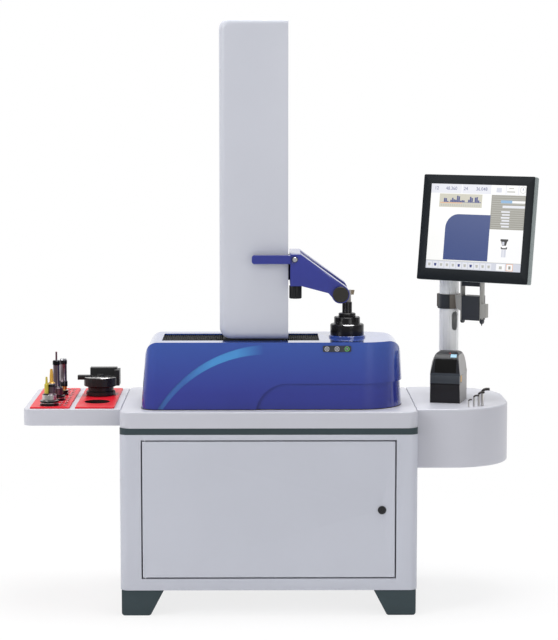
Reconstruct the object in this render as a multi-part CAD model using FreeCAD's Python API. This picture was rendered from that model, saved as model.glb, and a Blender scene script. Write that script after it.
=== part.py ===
import FreeCAD, Part
import math
import os

# Tool presetter on a cabinet, in millimetres. +X to the right, +Y to the back, +Z up from the floor.
# The sizes are counted from the middle of the cabinet. The files have their origin at the middle of
# the whole machine's footprint, which is this far from the middle of the cabinet.
footprint_middle_x = 40.1
footprint_middle_y = -1.65

# Cabinet, stacked upwards from the floor
cabinet_width = 920.0
cabinet_depth = 560.0
foot_height = 80.0
body_height = 487.0
band_height = 20.0
worktop_height = 51.0
cabinet_corner = 25.0
cabinet_wall = 4.0
frame_side = 66.0
frame_bottom = 36.0
frame_top = 17.0
foot_outer_inset = 4.0
foot_top_width = 131.0
foot_bottom_width = 89.0
foot_depth = 120.0
foot_toe_radius = 10.0
worktop_corner = 35.0
worktop_edge = 6.0

# Door, set flush into the cabinet front
door_gap = 4.0
door_depth = 22.0
door_sheet = 2.5
door_edge = 3.0
door_return = 14.0
hinge_pin_radius = 3.0
hinge_pin_inset = 8.0
hinge_pin_depth = 12.0
hinge_block = 16.0
running_fit = 0.05
lock_inset = 40.5
lock_height_share = 0.497
lock_rose_radius = 13.0
lock_rose_height = 3.0
lock_barrel_radius = 9.5
lock_cam_length = 58.0
lock_cam_width = 16.0
lock_cam_thickness = 3.0
lock_slot_width = 2.4

# Side tray with its two racks
tray_length = 301.0
tray_front_setback = 60.0
tray_back_setback = 30.0
tray_corner = 30.0
tray_wall = 4.0
rack_front_margin = 14.0
rack_back_margin = 26.0
rack_lip = 5.0
rack_seat_depth = 40.0
rack_overlap = 3.0
rack_corner = 8.0
shank_rack_left = 19.0
shank_rack_width = 123.0
holder_rack_left = 159.0
holder_rack_width = 122.0
pocket_radius = 40.0
pocket_depth = 34.0
pocket_front = 131.0
pocket_pitch = 152.0
pocket_count = 2
shank_socket_radius = 15.0
shank_socket_depth = 36.0
drill_hole_radius = 2.75
drill_hole_depth = 30.0
drill_hole_rows = 11
drill_hole_columns = 3
drill_hole_pitch_x = 15.0
drill_hole_pitch_y = 36.0
drill_grid_right = 17.0
drill_grid_front = 35.0

# Side console
console_width = 300.0
console_front_setback = 56.0
console_height = 185.0
console_corner = 185.0

# Measuring base: moulded cover over a cast bed
cover_left = -396.0
cover_right = 424.0
cover_front = -242.0
cover_back = 100.0
cover_height = 208.0
cover_draft_front = 19.0
cover_draft_left = 16.0
cover_draft_right = 12.0
cover_left_corner = 50.0
cover_right_corner = 144.0
cover_left_shoulder = 36.0
cover_right_shoulder = 40.0
cover_wall = 4.0
skirt_height = 81.0
skirt_step = 6.0
skirt_start = -40.0
skirt_run = 112.0
slot_left = -332.0
slot_right = 158.0
slot_front = -168.0
slot_back = 25.0
swoosh_depth = 2.5
swoosh_radius = 414.0
swoosh_inner_radius = 388.0
swoosh_inner_shift = 17.0
swoosh_inner_drop = 4.0
swoosh_from_left = 406.0
swoosh_top_room = 7.0

# Control strip and its buttons on the cover front
strip_left = 167.0
strip_length = 88.0
strip_height = 19.0
strip_drop = 10.0
strip_proud = 2.0
button_radius = 8.6
button_height = 5.0
button_pitch = 31.0
button_first = 13.0
button_fit = 0.3

# Bed, rails and tower foot
bed_left = -340.0
bed_right = 345.0
bed_front = -190.0
bed_back = 60.0
bed_plate = 52.0
bed_below_cover = 90.0
bed_rib = 15.0
bed_rise_right = 130.0
rail_width = 20.0
rail_height = 18.0
rail_spacing = 110.0
foot_block_height = 30.0
foot_block_length = 60.0
rail_clearance = 0.3

# Tower
tower_left = -152.0
tower_width = 213.0
tower_front = -178.0
tower_depth = 213.0
tower_height = 993.0
tower_lift = 4.0
tower_corner = 37.0
tower_edge = 22.0
tower_wall = 4.0
slot_width_y = 104.0
slot_margin_low = 60.0
slot_margin_high = 40.0
column_width = 110.0
column_depth = 100.0
column_wall = 8.0
column_left = -100.0
column_top_room = 113.0
z_rail_width = 24.0
z_rail_height = 16.0
pulley_radius = 42.0
pulley_width = 20.0
pulley_axle_radius = 6.0
pulley_top_room = 70.0
ear_thickness = 8.0
band_thickness = 0.6
band_width = 16.0
weight_width = 70.0
weight_depth = 70.0
weight_height = 220.0
weight_hang = 220.0

# Bellows over the slot
bellows_pleats = 16
bellows_height = 16.0
bellows_sheet = 1.2
bellows_sink = 2.0
bellows_side_gap = 2.0

# Optical carrier around the tower
carrier_gap = 0.5
carrier_back_width = 33.0
carrier_front = -195.0
carrier_arm = 60.0
carrier_rear = -3.0
carrier_top_over_axis = 124.0
carrier_low_over_axis = 26.0
carriage_over_axis = 39.0
optic_x = 223.0
optic_above_cover = 146.0
nose_radius = 28.0
carrier_plate = 33.0
optic_radius = 24.5
optic_proud = 7.0
lens_radius = 15.0
lens_thickness = 4.0
handle_left = -52.0
handle_height = 27.0
handle_depth = 22.0
handle_gap = 3.0
release_radius = 7.7
release_travel = 2.0
release_height = 5.0
carriage_height = 74.0
fine_knob_radius = 19.5
fine_knob_height = 40.0
fine_knob_grooves = 16

# Spindle and the tool in it
spindle_x = 248.0
spindle_y = -69.0
spindle_ring_radius = 58.0
spindle_ring_height = 7.0
spindle_flange_radius = 50.0
spindle_shaft_radius = 42.0
spindle_floor_gap = 13.0
spindle_housing_radius = 70.0
bearing_radius = 55.0
bearing_height = 18.0
bearing_margin = 14.0
bearing_drop = 36.0
taper_radius = 34.925
taper_slope = 7.0 / 48.0
taper_length = 95.0
taper_gap = 0.2
seat_gap = 0.3
adapter_radius = 53.0
adapter_height = 35.0
adapter_chamfer = 3.0
nose_ring_radius = 41.0
nose_ring_height = 22.0
nose_notches = 6
nut_radius = 27.0
nut_height = 12.0
bar_radius = 15.5
bar_height = 35.0
bar_shank_depth = 30.0
tip_block_height = 38.0
insert_length = 14.0
insert_height = 15.0
insert_thickness = 5.0

# Monitor and its pole
pole_from_cabinet = 125.0
pole_from_back = 180.0
pole_radius = 31.0
pole_wall = 4.0
pole_length = 527.0
pole_socket_depth = 90.0
pole_grooves = 10
pole_groove_radius = 1.6
cable_slot_level = 212.0
cable_slot_length = 62.0
cable_slot_width = 24.0
cable_slot_angle = 35.0
sleeve_level = 283.0
sleeve_height = 46.0
sleeve_wall = 3.5
sleeve_lip = 4.0
sleeve_lip_width = 2.5
hub_wall = 5.0
hub_opening = 100.0
hub_opening_at = 218.0
monitor_right_of_pole = 65.8
monitor_before_pole = 160.0
monitor_level = 549.7
monitor_yaw = 34.0
monitor_tilt = 8.0
monitor_width = 394.0
monitor_height = 336.0
monitor_thickness = 26.0
monitor_corner = 5.0
screen_width = 338.0
screen_height = 270.0
screen_rise = 4.0
screen_recess = 2.5
glass_thickness = 2.0
boss_width = 50.0
boss_height = 90.0
pivot_back = 75.0
pivot_radius = 6.0
plate_offset = -47.0
plate_spacing = 65.0
plate_thickness = 5.0
plate_depth = 24.0
plate_level = 240.0
plate_over = 20.0
plate_corner = 10.0
arm_bar_width = 18.0
arm_bar_drop = 8.0
arm_box_level = 251.0
arm_box_height = 78.0
arm_box_depth = 44.0
cross_level = 360.0
cross_height = 26.0
side_block_level = 261.0
side_block_height = 44.0
side_block_width = 16.0
foot_cone_height = 20.0
foot_cone_tip = 1.0
foot_cone_radius = 5.0
foot_cone_sink = 6.0

# Label printer
printer_from_cabinet = 96.0
printer_before_pole = 198.0
printer_yaw = 15.0
printer_width = 97.0
printer_depth = 134.0
printer_height = 158.0
printer_split = 87.0
printer_wall = 4.0
printer_corner = 7.0
printer_band_low = 61.0
printer_band_proud = 2.0
printer_groove = 1.5
printer_front_draft = 2.0
printer_crown_front = 70.0
printer_crown_back = 46.0
printer_shoulder = 24.0
printer_taper = 4.0
printer_front_wall = 16.0
printer_roof = 10.0
printer_hinge_inset = 11.0
printer_hinge_radius = 8.0
printer_gap = 0.4
latch_front = 10.0
latch_length = 14.0
latch_height = 20.0
latch_thickness = 3.0
latch_travel = 3.0

# Hex keys standing in the console
key_row_front = 46.0
key_row_step = 9.0
key_from_cabinet = (164.0, 181.0, 197.0, 209.0)
key_heights = (25.0, 37.0, 46.0, 56.0)
key_reaches = (10.0, 16.0, 18.0, 23.0)
key_flats = (4.0, 5.0, 6.0, 8.0)
key_depth = 18.0
key_fit = 0.3

# Tools standing in the shank rack: place in the rack, and outline as radius and height over the rack
tool_shank_gap = 0.4
tool_lift = 0.3
shank_socket_spare = 4.0
chamfer_tool_place = (58.0, 40.0)
chamfer_tool_outline = ((29.5, 5.0), (25.0, 7.0), (25.0, 9.0), (29.5, 11.0), (29.5, 16.0), (22.0, 18.0), (22.0, 34.0),
                        (17.0, 38.0), (0.0, 38.0))
tall_cutter_place = (7.0, 2.0)
tall_cutter_outline = ((0.0, 36.0), (11.0, 36.0), (11.0, 70.0), (6.0, 74.0), (6.0, 92.0), (4.0, 114.0), (0.0, 114.0))
short_cutter_place = (-8.0, -4.0)
short_cutter_outline = ((0.0, 36.0), (7.0, 36.0), (7.0, 66.0), (4.0, 70.0), (3.0, 90.0), (0.0, 90.0))
drill_tool_place = (70.0, 151.0)
drill_tool_outline = ((27.0, 5.0), (23.0, 7.0), (23.0, 9.0), (27.0, 11.0), (27.0, 16.0), (20.0, 18.0), (20.0, 40.0),
                      (12.0, 46.0), (10.5, 60.0), (10.5, 112.0), (12.0, 114.0), (12.0, 125.0), (9.0, 128.0),
                      (3.0, 128.0), (3.0, 154.0), (0.0, 156.0))
bore_tool_place = (81.0, 267.0)
bore_tool_outline = ((16.0, 5.0), (13.0, 7.0), (13.0, 9.0), (15.5, 11.0), (15.5, 16.0), (11.0, 18.0), (11.0, 27.0),
                     (13.0, 29.0), (13.0, 44.0), (11.0, 48.0), (11.0, 100.0), (12.0, 102.0), (12.0, 112.0), (10.0, 118.0),
                     (0.0, 118.0))

# Turret holder in the second pocket of the holder rack, counted from the pocket's axis and the rack's top
turret_rim = 3.0
turret_rim_height = 6.0
turret_drum_height = 38.0
turret_head_radius = 48.0
turret_head_height = 60.0
turret_lug = (-74.0, -30.0, -8.0, 14.0, 50.0, 64.0)
turret_clamp = (-36.0, 50.0, 26.0, 62.0, 46.0, 84.0)
turret_cheek = (44.0, 60.0, -4.0, 58.0, 30.0, 80.0)
turret_screw_radius = 11.0
turret_screw_height = 7.0

# Levels and planes that follow from the sizes above
body_bottom = foot_height
body_top = body_bottom + body_height
band_top = body_top + band_height
work_top = band_top + worktop_height
half_width = cabinet_width / 2.0
front_face = -cabinet_depth / 2.0
back_face = cabinet_depth / 2.0
cover_top = work_top + cover_height
tower_bottom = cover_top + tower_lift
tower_top = tower_bottom + tower_height
tower_right = tower_left + tower_width
rack_top = work_top + rack_lip
tray_left = -half_width - tray_length
tray_front = front_face + tray_front_setback
tray_depth = cabinet_depth - tray_front_setback - tray_back_setback
rack_depth = tray_depth - rack_front_margin - rack_back_margin
console_front = front_face + console_front_setback
pole_x = half_width + pole_from_cabinet
pole_y = back_face - pole_from_back
pole_top = work_top + pole_length
cable_slot_low = work_top + cable_slot_level
cable_slot_high = cable_slot_low + cable_slot_length
sleeve_low = work_top + sleeve_level
plate_low = work_top + plate_level
arm_box_low = work_top + arm_box_level
cross_low = work_top + cross_level
side_block_low = work_top + side_block_level
monitor_z = work_top + monitor_level
monitor_x = pole_x + monitor_right_of_pole
monitor_y = pole_y - monitor_before_pole
printer_x = half_width + printer_from_cabinet
printer_y = pole_y - printer_before_pole
key_y = console_front + key_row_front
opening_left = -half_width + frame_side
opening_right = half_width - frame_side
opening_bottom = body_bottom + frame_bottom
opening_top = body_top - frame_top
door_left = opening_left + door_gap
door_right = opening_right - door_gap
door_bottom = opening_bottom + door_gap
door_top = opening_top - door_gap
door_back = front_face + door_depth
hinge_x = door_left + hinge_pin_inset
hinge_y = front_face + hinge_pin_inset
lock_x = door_right - lock_inset
lock_z = door_bottom + lock_height_share * (door_top - door_bottom)
bed_top = cover_top - bed_below_cover
rail_y = (slot_front + slot_back) / 2.0
ring_top = cover_top + spindle_ring_height
adapter_bottom = ring_top + seat_gap
spindle_bottom = work_top + bed_plate + spindle_floor_gap
column_y = rail_y
column_right = column_left + column_width
column_top = tower_top - tower_wall - column_top_room
pulley_z = tower_top - tower_wall - pulley_top_room
column_face = column_right + z_rail_height
band_right_x = column_right + 33.0
pulley_x = band_right_x - pulley_radius
band_left_x = pulley_x - pulley_radius
optic_z = cover_top + optic_above_cover
carrier_top = optic_z + carrier_top_over_axis
carrier_low = optic_z + carrier_low_over_axis
carrier_left = tower_right + carrier_gap + 5.5
carrier_right = carrier_left + carrier_back_width
carriage_low = optic_z + carriage_over_axis
carriage_top = carriage_low + carriage_height
weight_top = tower_top - tower_wall - weight_hang
strip_front_z = cover_top - strip_drop
UP = FreeCAD.Vector(0, 0, 1)
RIGHT = FreeCAD.Vector(1, 0, 0)
BACK = FreeCAD.Vector(0, 1, 0)


def vec(x, y, z):
    return FreeCAD.Vector(x, y, z)


def block(x0, x1, y0, y1, z0, z1):
    """Box between two corners."""
    return Part.makeBox(x1 - x0, y1 - y0, z1 - z0, vec(x0, y0, z0))


def disc(x, y, z, radius, height):
    """Upright cylinder standing on z."""
    return Part.makeCylinder(radius, height, vec(x, y, z), UP)


def rod_y(x, y, z, radius, length):
    """Cylinder that runs towards the back from y."""
    return Part.makeCylinder(radius, length, vec(x, y, z), BACK)


def rod_x(x, y, z, radius, length):
    """Cylinder that runs to the right from x."""
    return Part.makeCylinder(radius, length, vec(x, y, z), RIGHT)


def prism_xz(points, y0, y1):
    """Outline in the XZ plane pushed from y0 to y1."""
    wire = Part.makePolygon([vec(x, y0, z) for x, z in points + points[:1]])
    return Part.Face(wire).extrude(vec(0, y1 - y0, 0))


def prism_yz(points, x0, x1):
    """Outline in the YZ plane pushed from x0 to x1."""
    wire = Part.makePolygon([vec(x0, y, z) for y, z in points + points[:1]])
    return Part.Face(wire).extrude(vec(x1 - x0, 0, 0))


def turned(points, x, y):
    """Solid of revolution about an upright axis at x, y from (radius, z) points."""
    wire = Part.makePolygon([vec(x + r, y, z) for r, z in points + points[:1]])
    return Part.Face(wire).revolve(vec(x, y, 0), UP, 360)


def plan_wire(x0, x1, y0, y1, z, radii):
    """Rectangle in plan with rounded corners: front left, front right, back right, back left."""
    fl, fr, br, bl = radii
    half = math.sqrt(0.5)
    edges = []

    def corner(cx, cy, r, start, middle, end):
        if r > 0:
            points = [vec(cx + r * a, cy + r * b, z) for a, b in (start, middle, end)]
            edges.append(Part.Arc(*points).toShape())

    def side(ax, ay, bx, by):
        if abs(ax - bx) + abs(ay - by) > 1e-6:
            edges.append(Part.LineSegment(vec(ax, ay, z), vec(bx, by, z)).toShape())

    side(x0 + fl, y0, x1 - fr, y0)
    corner(x1 - fr, y0 + fr, fr, (0, -1), (half, -half), (1, 0))
    side(x1, y0 + fr, x1, y1 - br)
    corner(x1 - br, y1 - br, br, (1, 0), (half, half), (0, 1))
    side(x1 - br, y1, x0 + bl, y1)
    corner(x0 + bl, y1 - bl, bl, (0, 1), (-half, half), (-1, 0))
    side(x0, y1 - bl, x0, y0 + fl)
    corner(x0 + fl, y0 + fl, fl, (-1, 0), (-half, -half), (0, -1))
    return Part.Wire(edges)


def rounded_block(x0, x1, y0, y1, z0, z1, radii):
    """Block whose upright corners are rounded."""
    return Part.Face(plan_wire(x0, x1, y0, y1, z0, radii)).extrude(vec(0, 0, z1 - z0))


def break_edges(shape, size, chosen):
    """Chamfer the edges for which chosen(edge) holds."""
    edges = [e for e in shape.Edges if chosen(e)]
    return shape.makeChamfer(size, edges) if edges and size > 0 else shape


def round_edges(shape, radius, chosen):
    """Fillet the edges for which chosen(edge) holds."""
    edges = [e for e in shape.Edges if chosen(e)]
    return shape.makeFillet(radius, edges) if edges and radius > 0 else shape


def at_height(z):
    """Test for edges that lie in the plane at height z."""
    return lambda e: all(abs(v.Z - z) < 1e-4 for v in e.Vertexes) and abs(e.BoundBox.ZLength) < 1e-4


def save(name, shape):
    """Write one node, with faces in one surface merged, about the middle of the footprint."""
    piece = shape.removeSplitter()
    piece.translate(vec(-footprint_middle_x, -footprint_middle_y, 0))
    piece.exportStep("parts/" + name + ".step")


# Cabinet

def cabinet_body():
    full = (cabinet_corner,) * 4
    shell = rounded_block(-half_width, half_width, front_face, back_face, body_bottom, body_top, full)
    inner_corner = cabinet_corner - cabinet_wall
    cavity = rounded_block(-half_width + cabinet_wall, half_width - cabinet_wall, door_back, back_face - cabinet_wall,
                           body_bottom + cabinet_wall, body_top - cabinet_wall, (0, 0, inner_corner, inner_corner))
    opening = block(opening_left, opening_right, front_face - 1, door_back + 1, opening_bottom, opening_top)
    shell = shell.cut(cavity).cut(opening)
    for z in (opening_bottom - hinge_pin_depth, opening_top):
        shell = shell.cut(disc(hinge_x, hinge_y, z, hinge_pin_radius, hinge_pin_depth))
    return shell


def cabinet_feet():
    solids = []
    outer = half_width - foot_outer_inset
    for side in (-1, 1):
        outline = [(side * outer, 0), (side * outer, foot_height),
                   (side * (outer - foot_top_width), foot_height), (side * (outer - foot_bottom_width), 0)]
        for y0 in (front_face + foot_outer_inset, back_face - foot_outer_inset - foot_depth):
            foot = prism_xz(outline, y0, y0 + foot_depth)
            foot = round_edges(foot, foot_toe_radius, lambda e: e.BoundBox.YLength > 1 and e.BoundBox.ZMax < 1)
            solids.append(foot)
    return Part.makeCompound(solids)


def trim_band():
    return rounded_block(-half_width, half_width, front_face, back_face, body_top, band_top, (cabinet_corner,) * 4)


def worktop():
    slab = rounded_block(-half_width, half_width, front_face, back_face, band_top, work_top, (worktop_corner,) * 4)
    return round_edges(slab, worktop_edge, at_height(work_top))


# Door with its pins and lock

def door_hinge_pins():
    low = disc(hinge_x, hinge_y, opening_bottom - hinge_pin_depth, hinge_pin_radius, 2 * hinge_pin_depth + door_gap)
    high = disc(hinge_x, hinge_y, opening_top - hinge_pin_depth - door_gap, hinge_pin_radius, 2 * hinge_pin_depth + door_gap)
    return Part.makeCompound([low, high])


def door_panel():
    panel = block(door_left, door_right, front_face, door_back, door_bottom, door_top)
    panel = round_edges(panel, door_edge, lambda e: e.BoundBox.YMax < front_face + 0.01)
    hollow = block(door_left + door_sheet, door_right - door_sheet, front_face + door_sheet, door_back - door_sheet,
                   door_bottom + door_sheet, door_top - door_sheet)
    mouth = block(door_left + door_return, door_right - door_return, front_face + door_sheet, door_back + 1,
                  door_bottom + door_return, door_top - door_return)
    hollow = hollow.fuse(mouth)
    for z in (door_bottom, door_top - hinge_block):
        hollow = hollow.cut(block(door_left, door_left + hinge_block, front_face, door_back, z, z + hinge_block))
    panel = panel.cut(hollow)
    for z in (door_bottom - 1, door_top - hinge_pin_depth - 1):
        panel = panel.cut(disc(hinge_x, hinge_y, z, hinge_pin_radius + running_fit, hinge_pin_depth + 2))
    return panel.cut(rod_y(lock_x, front_face - 1, lock_z, lock_barrel_radius + running_fit, door_depth))


def door_lock():
    rose = rod_y(lock_x, front_face - seat_gap - lock_rose_height, lock_z, lock_rose_radius, lock_rose_height)
    rose = break_edges(rose, lock_rose_height / 2, lambda e: e.BoundBox.YMax < front_face - seat_gap - lock_rose_height + 0.01)
    cam_front = door_back + 2 * seat_gap
    barrel = rod_y(lock_x, front_face - seat_gap, lock_z, lock_barrel_radius, cam_front - front_face + seat_gap)
    half = lock_cam_width / 2
    cam = rod_y(lock_x, cam_front, lock_z, half, lock_cam_thickness)
    cam = cam.fuse(block(lock_x - half, lock_x + half, cam_front, cam_front + lock_cam_thickness,
                         lock_z - lock_cam_length, lock_z))
    key_slot = block(lock_x - lock_slot_width / 2, lock_x + lock_slot_width / 2,
                     front_face - seat_gap - lock_rose_height - 1, front_face, lock_z - lock_barrel_radius / 2,
                     lock_z + lock_barrel_radius / 2)
    return rose.fuse(barrel).fuse(cam).cut(key_slot)


# Side tray and racks

def rack_span(left, width):
    return tray_left + left, tray_left + left + width, tray_front + rack_front_margin, tray_front + rack_front_margin + rack_depth


def rack_body(left, width):
    """Plastic rack that drops into a window of the tray and rests on its lip."""
    x0, x1, y0, y1 = rack_span(left, width)
    lip = rounded_block(x0, x1, y0, y1, work_top, rack_top, (rack_corner,) * 4)
    lip = round_edges(lip, rack_lip / 2, at_height(rack_top))
    core = rounded_block(x0 + rack_overlap, x1 - rack_overlap, y0 + rack_overlap, y1 - rack_overlap,
                         work_top - rack_seat_depth, work_top, (rack_corner - rack_overlap,) * 4)
    return lip.fuse(core)


def side_tray():
    corners = (tray_corner, 0, 0, tray_corner)
    tray = rounded_block(tray_left, -half_width, tray_front, tray_front + tray_depth, band_top, work_top, corners)
    tray = round_edges(tray, worktop_edge / 2, lambda e: at_height(work_top)(e) and e.BoundBox.XMin < -half_width - 0.01)
    inner = (tray_corner - tray_wall, 0, 0, tray_corner - tray_wall)
    hollow = rounded_block(tray_left + tray_wall, -half_width - tray_wall, tray_front + tray_wall,
                           tray_front + tray_depth - tray_wall, band_top, work_top - tray_wall, inner)
    tray = tray.cut(hollow)
    for left, width in ((shank_rack_left, shank_rack_width), (holder_rack_left, holder_rack_width)):
        x0, x1, y0, y1 = rack_span(left, width)
        gap = rack_overlap - seat_gap
        tray = tray.cut(rounded_block(x0 + gap, x1 - gap, y0 + gap, y1 - gap, band_top, work_top + 1,
                                      (rack_corner - gap,) * 4))
    return tray


def tool_axis(place):
    """Axis of a rack tool, from its place counted from the rack's front left corner."""
    x0, x1, y0, y1 = rack_span(shank_rack_left, shank_rack_width)
    return x0 + place[0], y0 + place[1]


def shank_rack():
    rack = rack_body(shank_rack_left, shank_rack_width)
    x0, x1, y0, y1 = rack_span(shank_rack_left, shank_rack_width)
    sockets = [tool_axis(place) for place in (chamfer_tool_place, drill_tool_place, bore_tool_place)]
    cutters = [disc(x, y, rack_top - shank_socket_depth, shank_socket_radius, shank_socket_depth + 1) for x, y in sockets]
    for row in range(drill_hole_rows):
        for column in range(drill_hole_columns):
            x = x1 - drill_grid_right - column * drill_hole_pitch_x
            y = y0 + drill_grid_front + row * drill_hole_pitch_y
            clear = all(math.hypot(x - sx, y - sy) > shank_socket_radius + 3 * drill_hole_radius for sx, sy in sockets)
            if clear:
                cutters.append(disc(x, y, rack_top - drill_hole_depth, drill_hole_radius, drill_hole_depth + 1))
    return rack.cut(Part.makeCompound(cutters))


def pocket_centre(index):
    x0, x1, y0, y1 = rack_span(holder_rack_left, holder_rack_width)
    return (x0 + x1) / 2, tray_front + pocket_front + index * pocket_pitch


def holder_rack():
    rack = rack_body(holder_rack_left, holder_rack_width)
    for index in range(pocket_count):
        x, y = pocket_centre(index)
        rack = rack.cut(disc(x, y, rack_top - pocket_depth, pocket_radius, pocket_depth + 1))
    return rack


# Side console

def side_console():
    x0 = half_width
    x1 = half_width + console_width
    y1 = back_face
    low = work_top - console_height
    corners = (0, console_corner, console_corner, 0)
    body = rounded_block(x0, x1, console_front, y1, low, work_top, corners)
    body = round_edges(body, worktop_edge, lambda e: at_height(work_top)(e) and e.BoundBox.XMax > x0 + 1)
    body = round_edges(body, worktop_edge, lambda e: at_height(low)(e) and e.BoundBox.XMax > x0 + 1)
    body = body.cut(disc(pole_x, pole_y, work_top - pole_socket_depth, pole_radius, pole_socket_depth + 1))
    for index, flats in enumerate(key_flats):
        x, y = key_place(index)
        body = body.cut(disc(x, y, work_top - key_depth - seat_gap, flats / math.sqrt(3) + key_fit, key_depth + 1))
    return body


# Measuring base

def cover_solid(inset, drop):
    """Moulded body: a drafted plan outline crossed with a side outline that has rounded shoulders."""
    low = work_top
    high = cover_top - drop
    left_r = cover_left_corner - inset
    right_r = cover_right_corner - inset
    share = (high - low) / cover_height
    front = cover_draft_front * share
    left = cover_draft_left * share
    right = cover_draft_right * share
    base = plan_wire(cover_left + inset, cover_right - inset, cover_front + inset, cover_back - inset, low,
                     (left_r, right_r, right_r, left_r))
    top = plan_wire(cover_left + inset + left, cover_right - inset - right, cover_front + inset + front,
                    cover_back - inset - front, high, (left_r - left / 2, right_r - front, right_r - front, left_r - left / 2))
    drafted = Part.makeLoft([base, top], True, True)
    side = block(cover_left - 1, cover_right + 1, cover_front - 1, cover_back + 1, low, high)
    side_left = cover_left + inset + left
    side_right = cover_right - inset - right
    side = side.cut(shoulder(side_left, high, cover_left_shoulder - inset, -1))
    side = side.cut(shoulder(side_right, high, cover_right_shoulder - inset, 1))
    return drafted.common(side)


def shoulder(x, z, radius, side):
    """What a rounded shoulder takes away from the end of the cover."""
    reach = 60.0
    square = block(min(x - side * radius, x + side * reach), max(x - side * radius, x + side * reach),
                   cover_front - 2, cover_back + 2, z - radius, z + 1)
    return square.cut(rod_y(x - side * radius, cover_front - 2, z - radius, radius, cover_back - cover_front + 4))


def skirt_zone():
    """Space under the step line: an arc that rises from the left, then straight to the right."""
    rise = skirt_height
    start = vec(skirt_start, cover_front - 2, work_top)
    crest = vec(skirt_start + skirt_run, cover_front - 2, work_top + rise)
    far_top = vec(cover_right + 2, cover_front - 2, work_top + rise)
    far_low = vec(cover_right + 2, cover_front - 2, work_top)
    middle = vec(skirt_start + skirt_run * (1 - math.sqrt(0.5)), cover_front - 2, work_top + rise * math.sqrt(0.5))
    rising = Part.Arc(start, middle, crest).toShape()
    edges = [rising, Part.LineSegment(crest, far_top).toShape(), Part.LineSegment(far_top, far_low).toShape(),
             Part.LineSegment(far_low, start).toShape()]
    return Part.Face(Part.Wire(edges)).extrude(vec(0, cover_back - cover_front + 4, 0))


def swoosh_recess():
    """Crescent between two discs, sunk into the front at the left and running out to nothing at its right end."""
    x1 = cover_left + swoosh_from_left
    z1 = cover_top - swoosh_top_room - swoosh_radius
    y0 = cover_front - 2
    reach = cover_draft_front + swoosh_depth + 4
    crescent = rod_y(x1, y0, z1, swoosh_radius, reach)
    crescent = crescent.cut(rod_y(x1 - swoosh_inner_shift, y0 - 1, z1 - swoosh_inner_drop, swoosh_inner_radius, reach + 2))
    crescent = crescent.common(block(cover_left - 1, x1, y0, y0 + reach, work_top - 1, cover_top))
    slope = cover_draft_front / cover_height
    floor = []
    for x, depth in ((cover_left - 2, swoosh_depth), (x1 + 1, 0)):
        for z in (work_top - 2, cover_top + 1):
            floor.append(vec(x, cover_front + slope * (z - work_top) + depth, z))
    low_left, high_left, low_right, high_right = floor
    behind = Part.Face(Part.makePolygon([low_left, low_right, high_right, high_left, low_left]))
    return crescent.cut(behind.extrude(vec(0, 2 * reach, 0)))


def base_cover():
    outer = cover_solid(0, 0).cut(swoosh_recess())
    inner_skirt = cover_solid(skirt_step, skirt_step)
    zone = skirt_zone()
    outer = outer.cut(zone).fuse(inner_skirt.common(zone))
    outer = outer.cut(cover_solid(cover_wall + skirt_step, cover_wall))
    cut_low = cover_top - 2 * cover_wall
    outer = outer.cut(block(slot_left, slot_right, slot_front, slot_back, cut_low, cover_top + 1))
    outer = outer.cut(disc(spindle_x, spindle_y, cut_low, spindle_ring_radius + seat_gap, 3 * cover_wall))
    return outer.cut(strip_recess())


def strip_face():
    """The cover front at the strip's height, as (y at the strip top, y at its bottom)."""
    slope = cover_draft_front / cover_height
    return cover_front + slope * (strip_front_z - work_top), cover_front + slope * (strip_front_z - strip_height - work_top)


def strip_slab(front, depth, grow):
    """Rounded slab that follows the sloping cover front."""
    high, low = strip_face()
    z1 = strip_front_z + grow
    z0 = strip_front_z - strip_height - grow
    outline = [(low - front, z0), (high - front, z1), (high - front + depth, z1), (low - front + depth, z0)]
    slab = prism_yz(outline, strip_left - grow, strip_left + strip_length + grow)
    return round_edges(slab, 4.0, lambda e: e.BoundBox.YLength > depth - 1 and e.BoundBox.XLength < 0.01)


def strip_recess():
    return strip_slab(strip_proud + 1, 3 * (cover_wall + skirt_step), 0)


def button_axis_z():
    return strip_front_z - strip_height / 2


def button_x(index):
    return strip_left + button_first + index * button_pitch


def control_strip():
    high, low = strip_face()
    strip = strip_slab(strip_proud, strip_proud + cover_wall + button_height + 4, 0)
    for index in range(3):
        y = low - strip_proud - 2
        strip = strip.cut(rod_y(button_x(index), y, button_axis_z(), button_radius + button_fit, button_height + 4))
    return strip


def control_button(index):
    high, low = strip_face()
    y = (high + low) / 2 - strip_proud - 1.2
    cap = rod_y(button_x(index), y, button_axis_z(), button_radius, button_height)
    return break_edges(cap, 1.2, lambda e: e.BoundBox.YMax < y + 0.01)


def machine_bed():
    bed = block(bed_left, bed_right, bed_front, bed_back, work_top, work_top + bed_plate)
    bed = bed.fuse(block(bed_left, bed_rise_right, bed_front, bed_back, work_top + bed_plate, bed_top))
    rib_space = (bed_rise_right - bed_left - 4 * bed_rib) / 3
    for i in range(3):
        x = bed_left + bed_rib + i * (rib_space + bed_rib)
        bed = bed.cut(block(x, x + rib_space, bed_front - 1, bed_front + 50, work_top + 20, bed_top - 25))
        bed = bed.cut(block(x, x + rib_space, bed_back - 50, bed_back + 1, work_top + 20, bed_top - 25))
    return bed


def rail_centres():
    return rail_y - rail_spacing / 2, rail_y + rail_spacing / 2


def bed_rails():
    rails = []
    half = rail_width / 2
    neck = half - 3
    for y in rail_centres():
        outline = [(y - half, bed_top), (y + half, bed_top), (y + half, bed_top + 6), (y + neck, bed_top + 9),
                   (y + half, bed_top + 12), (y + half, bed_top + rail_height), (y - half, bed_top + rail_height),
                   (y - half, bed_top + 12), (y - neck, bed_top + 9), (y - half, bed_top + 6)]
        rails.append(prism_yz(outline, bed_left + 5, bed_rise_right - 5))
    return Part.makeCompound(rails)


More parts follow.
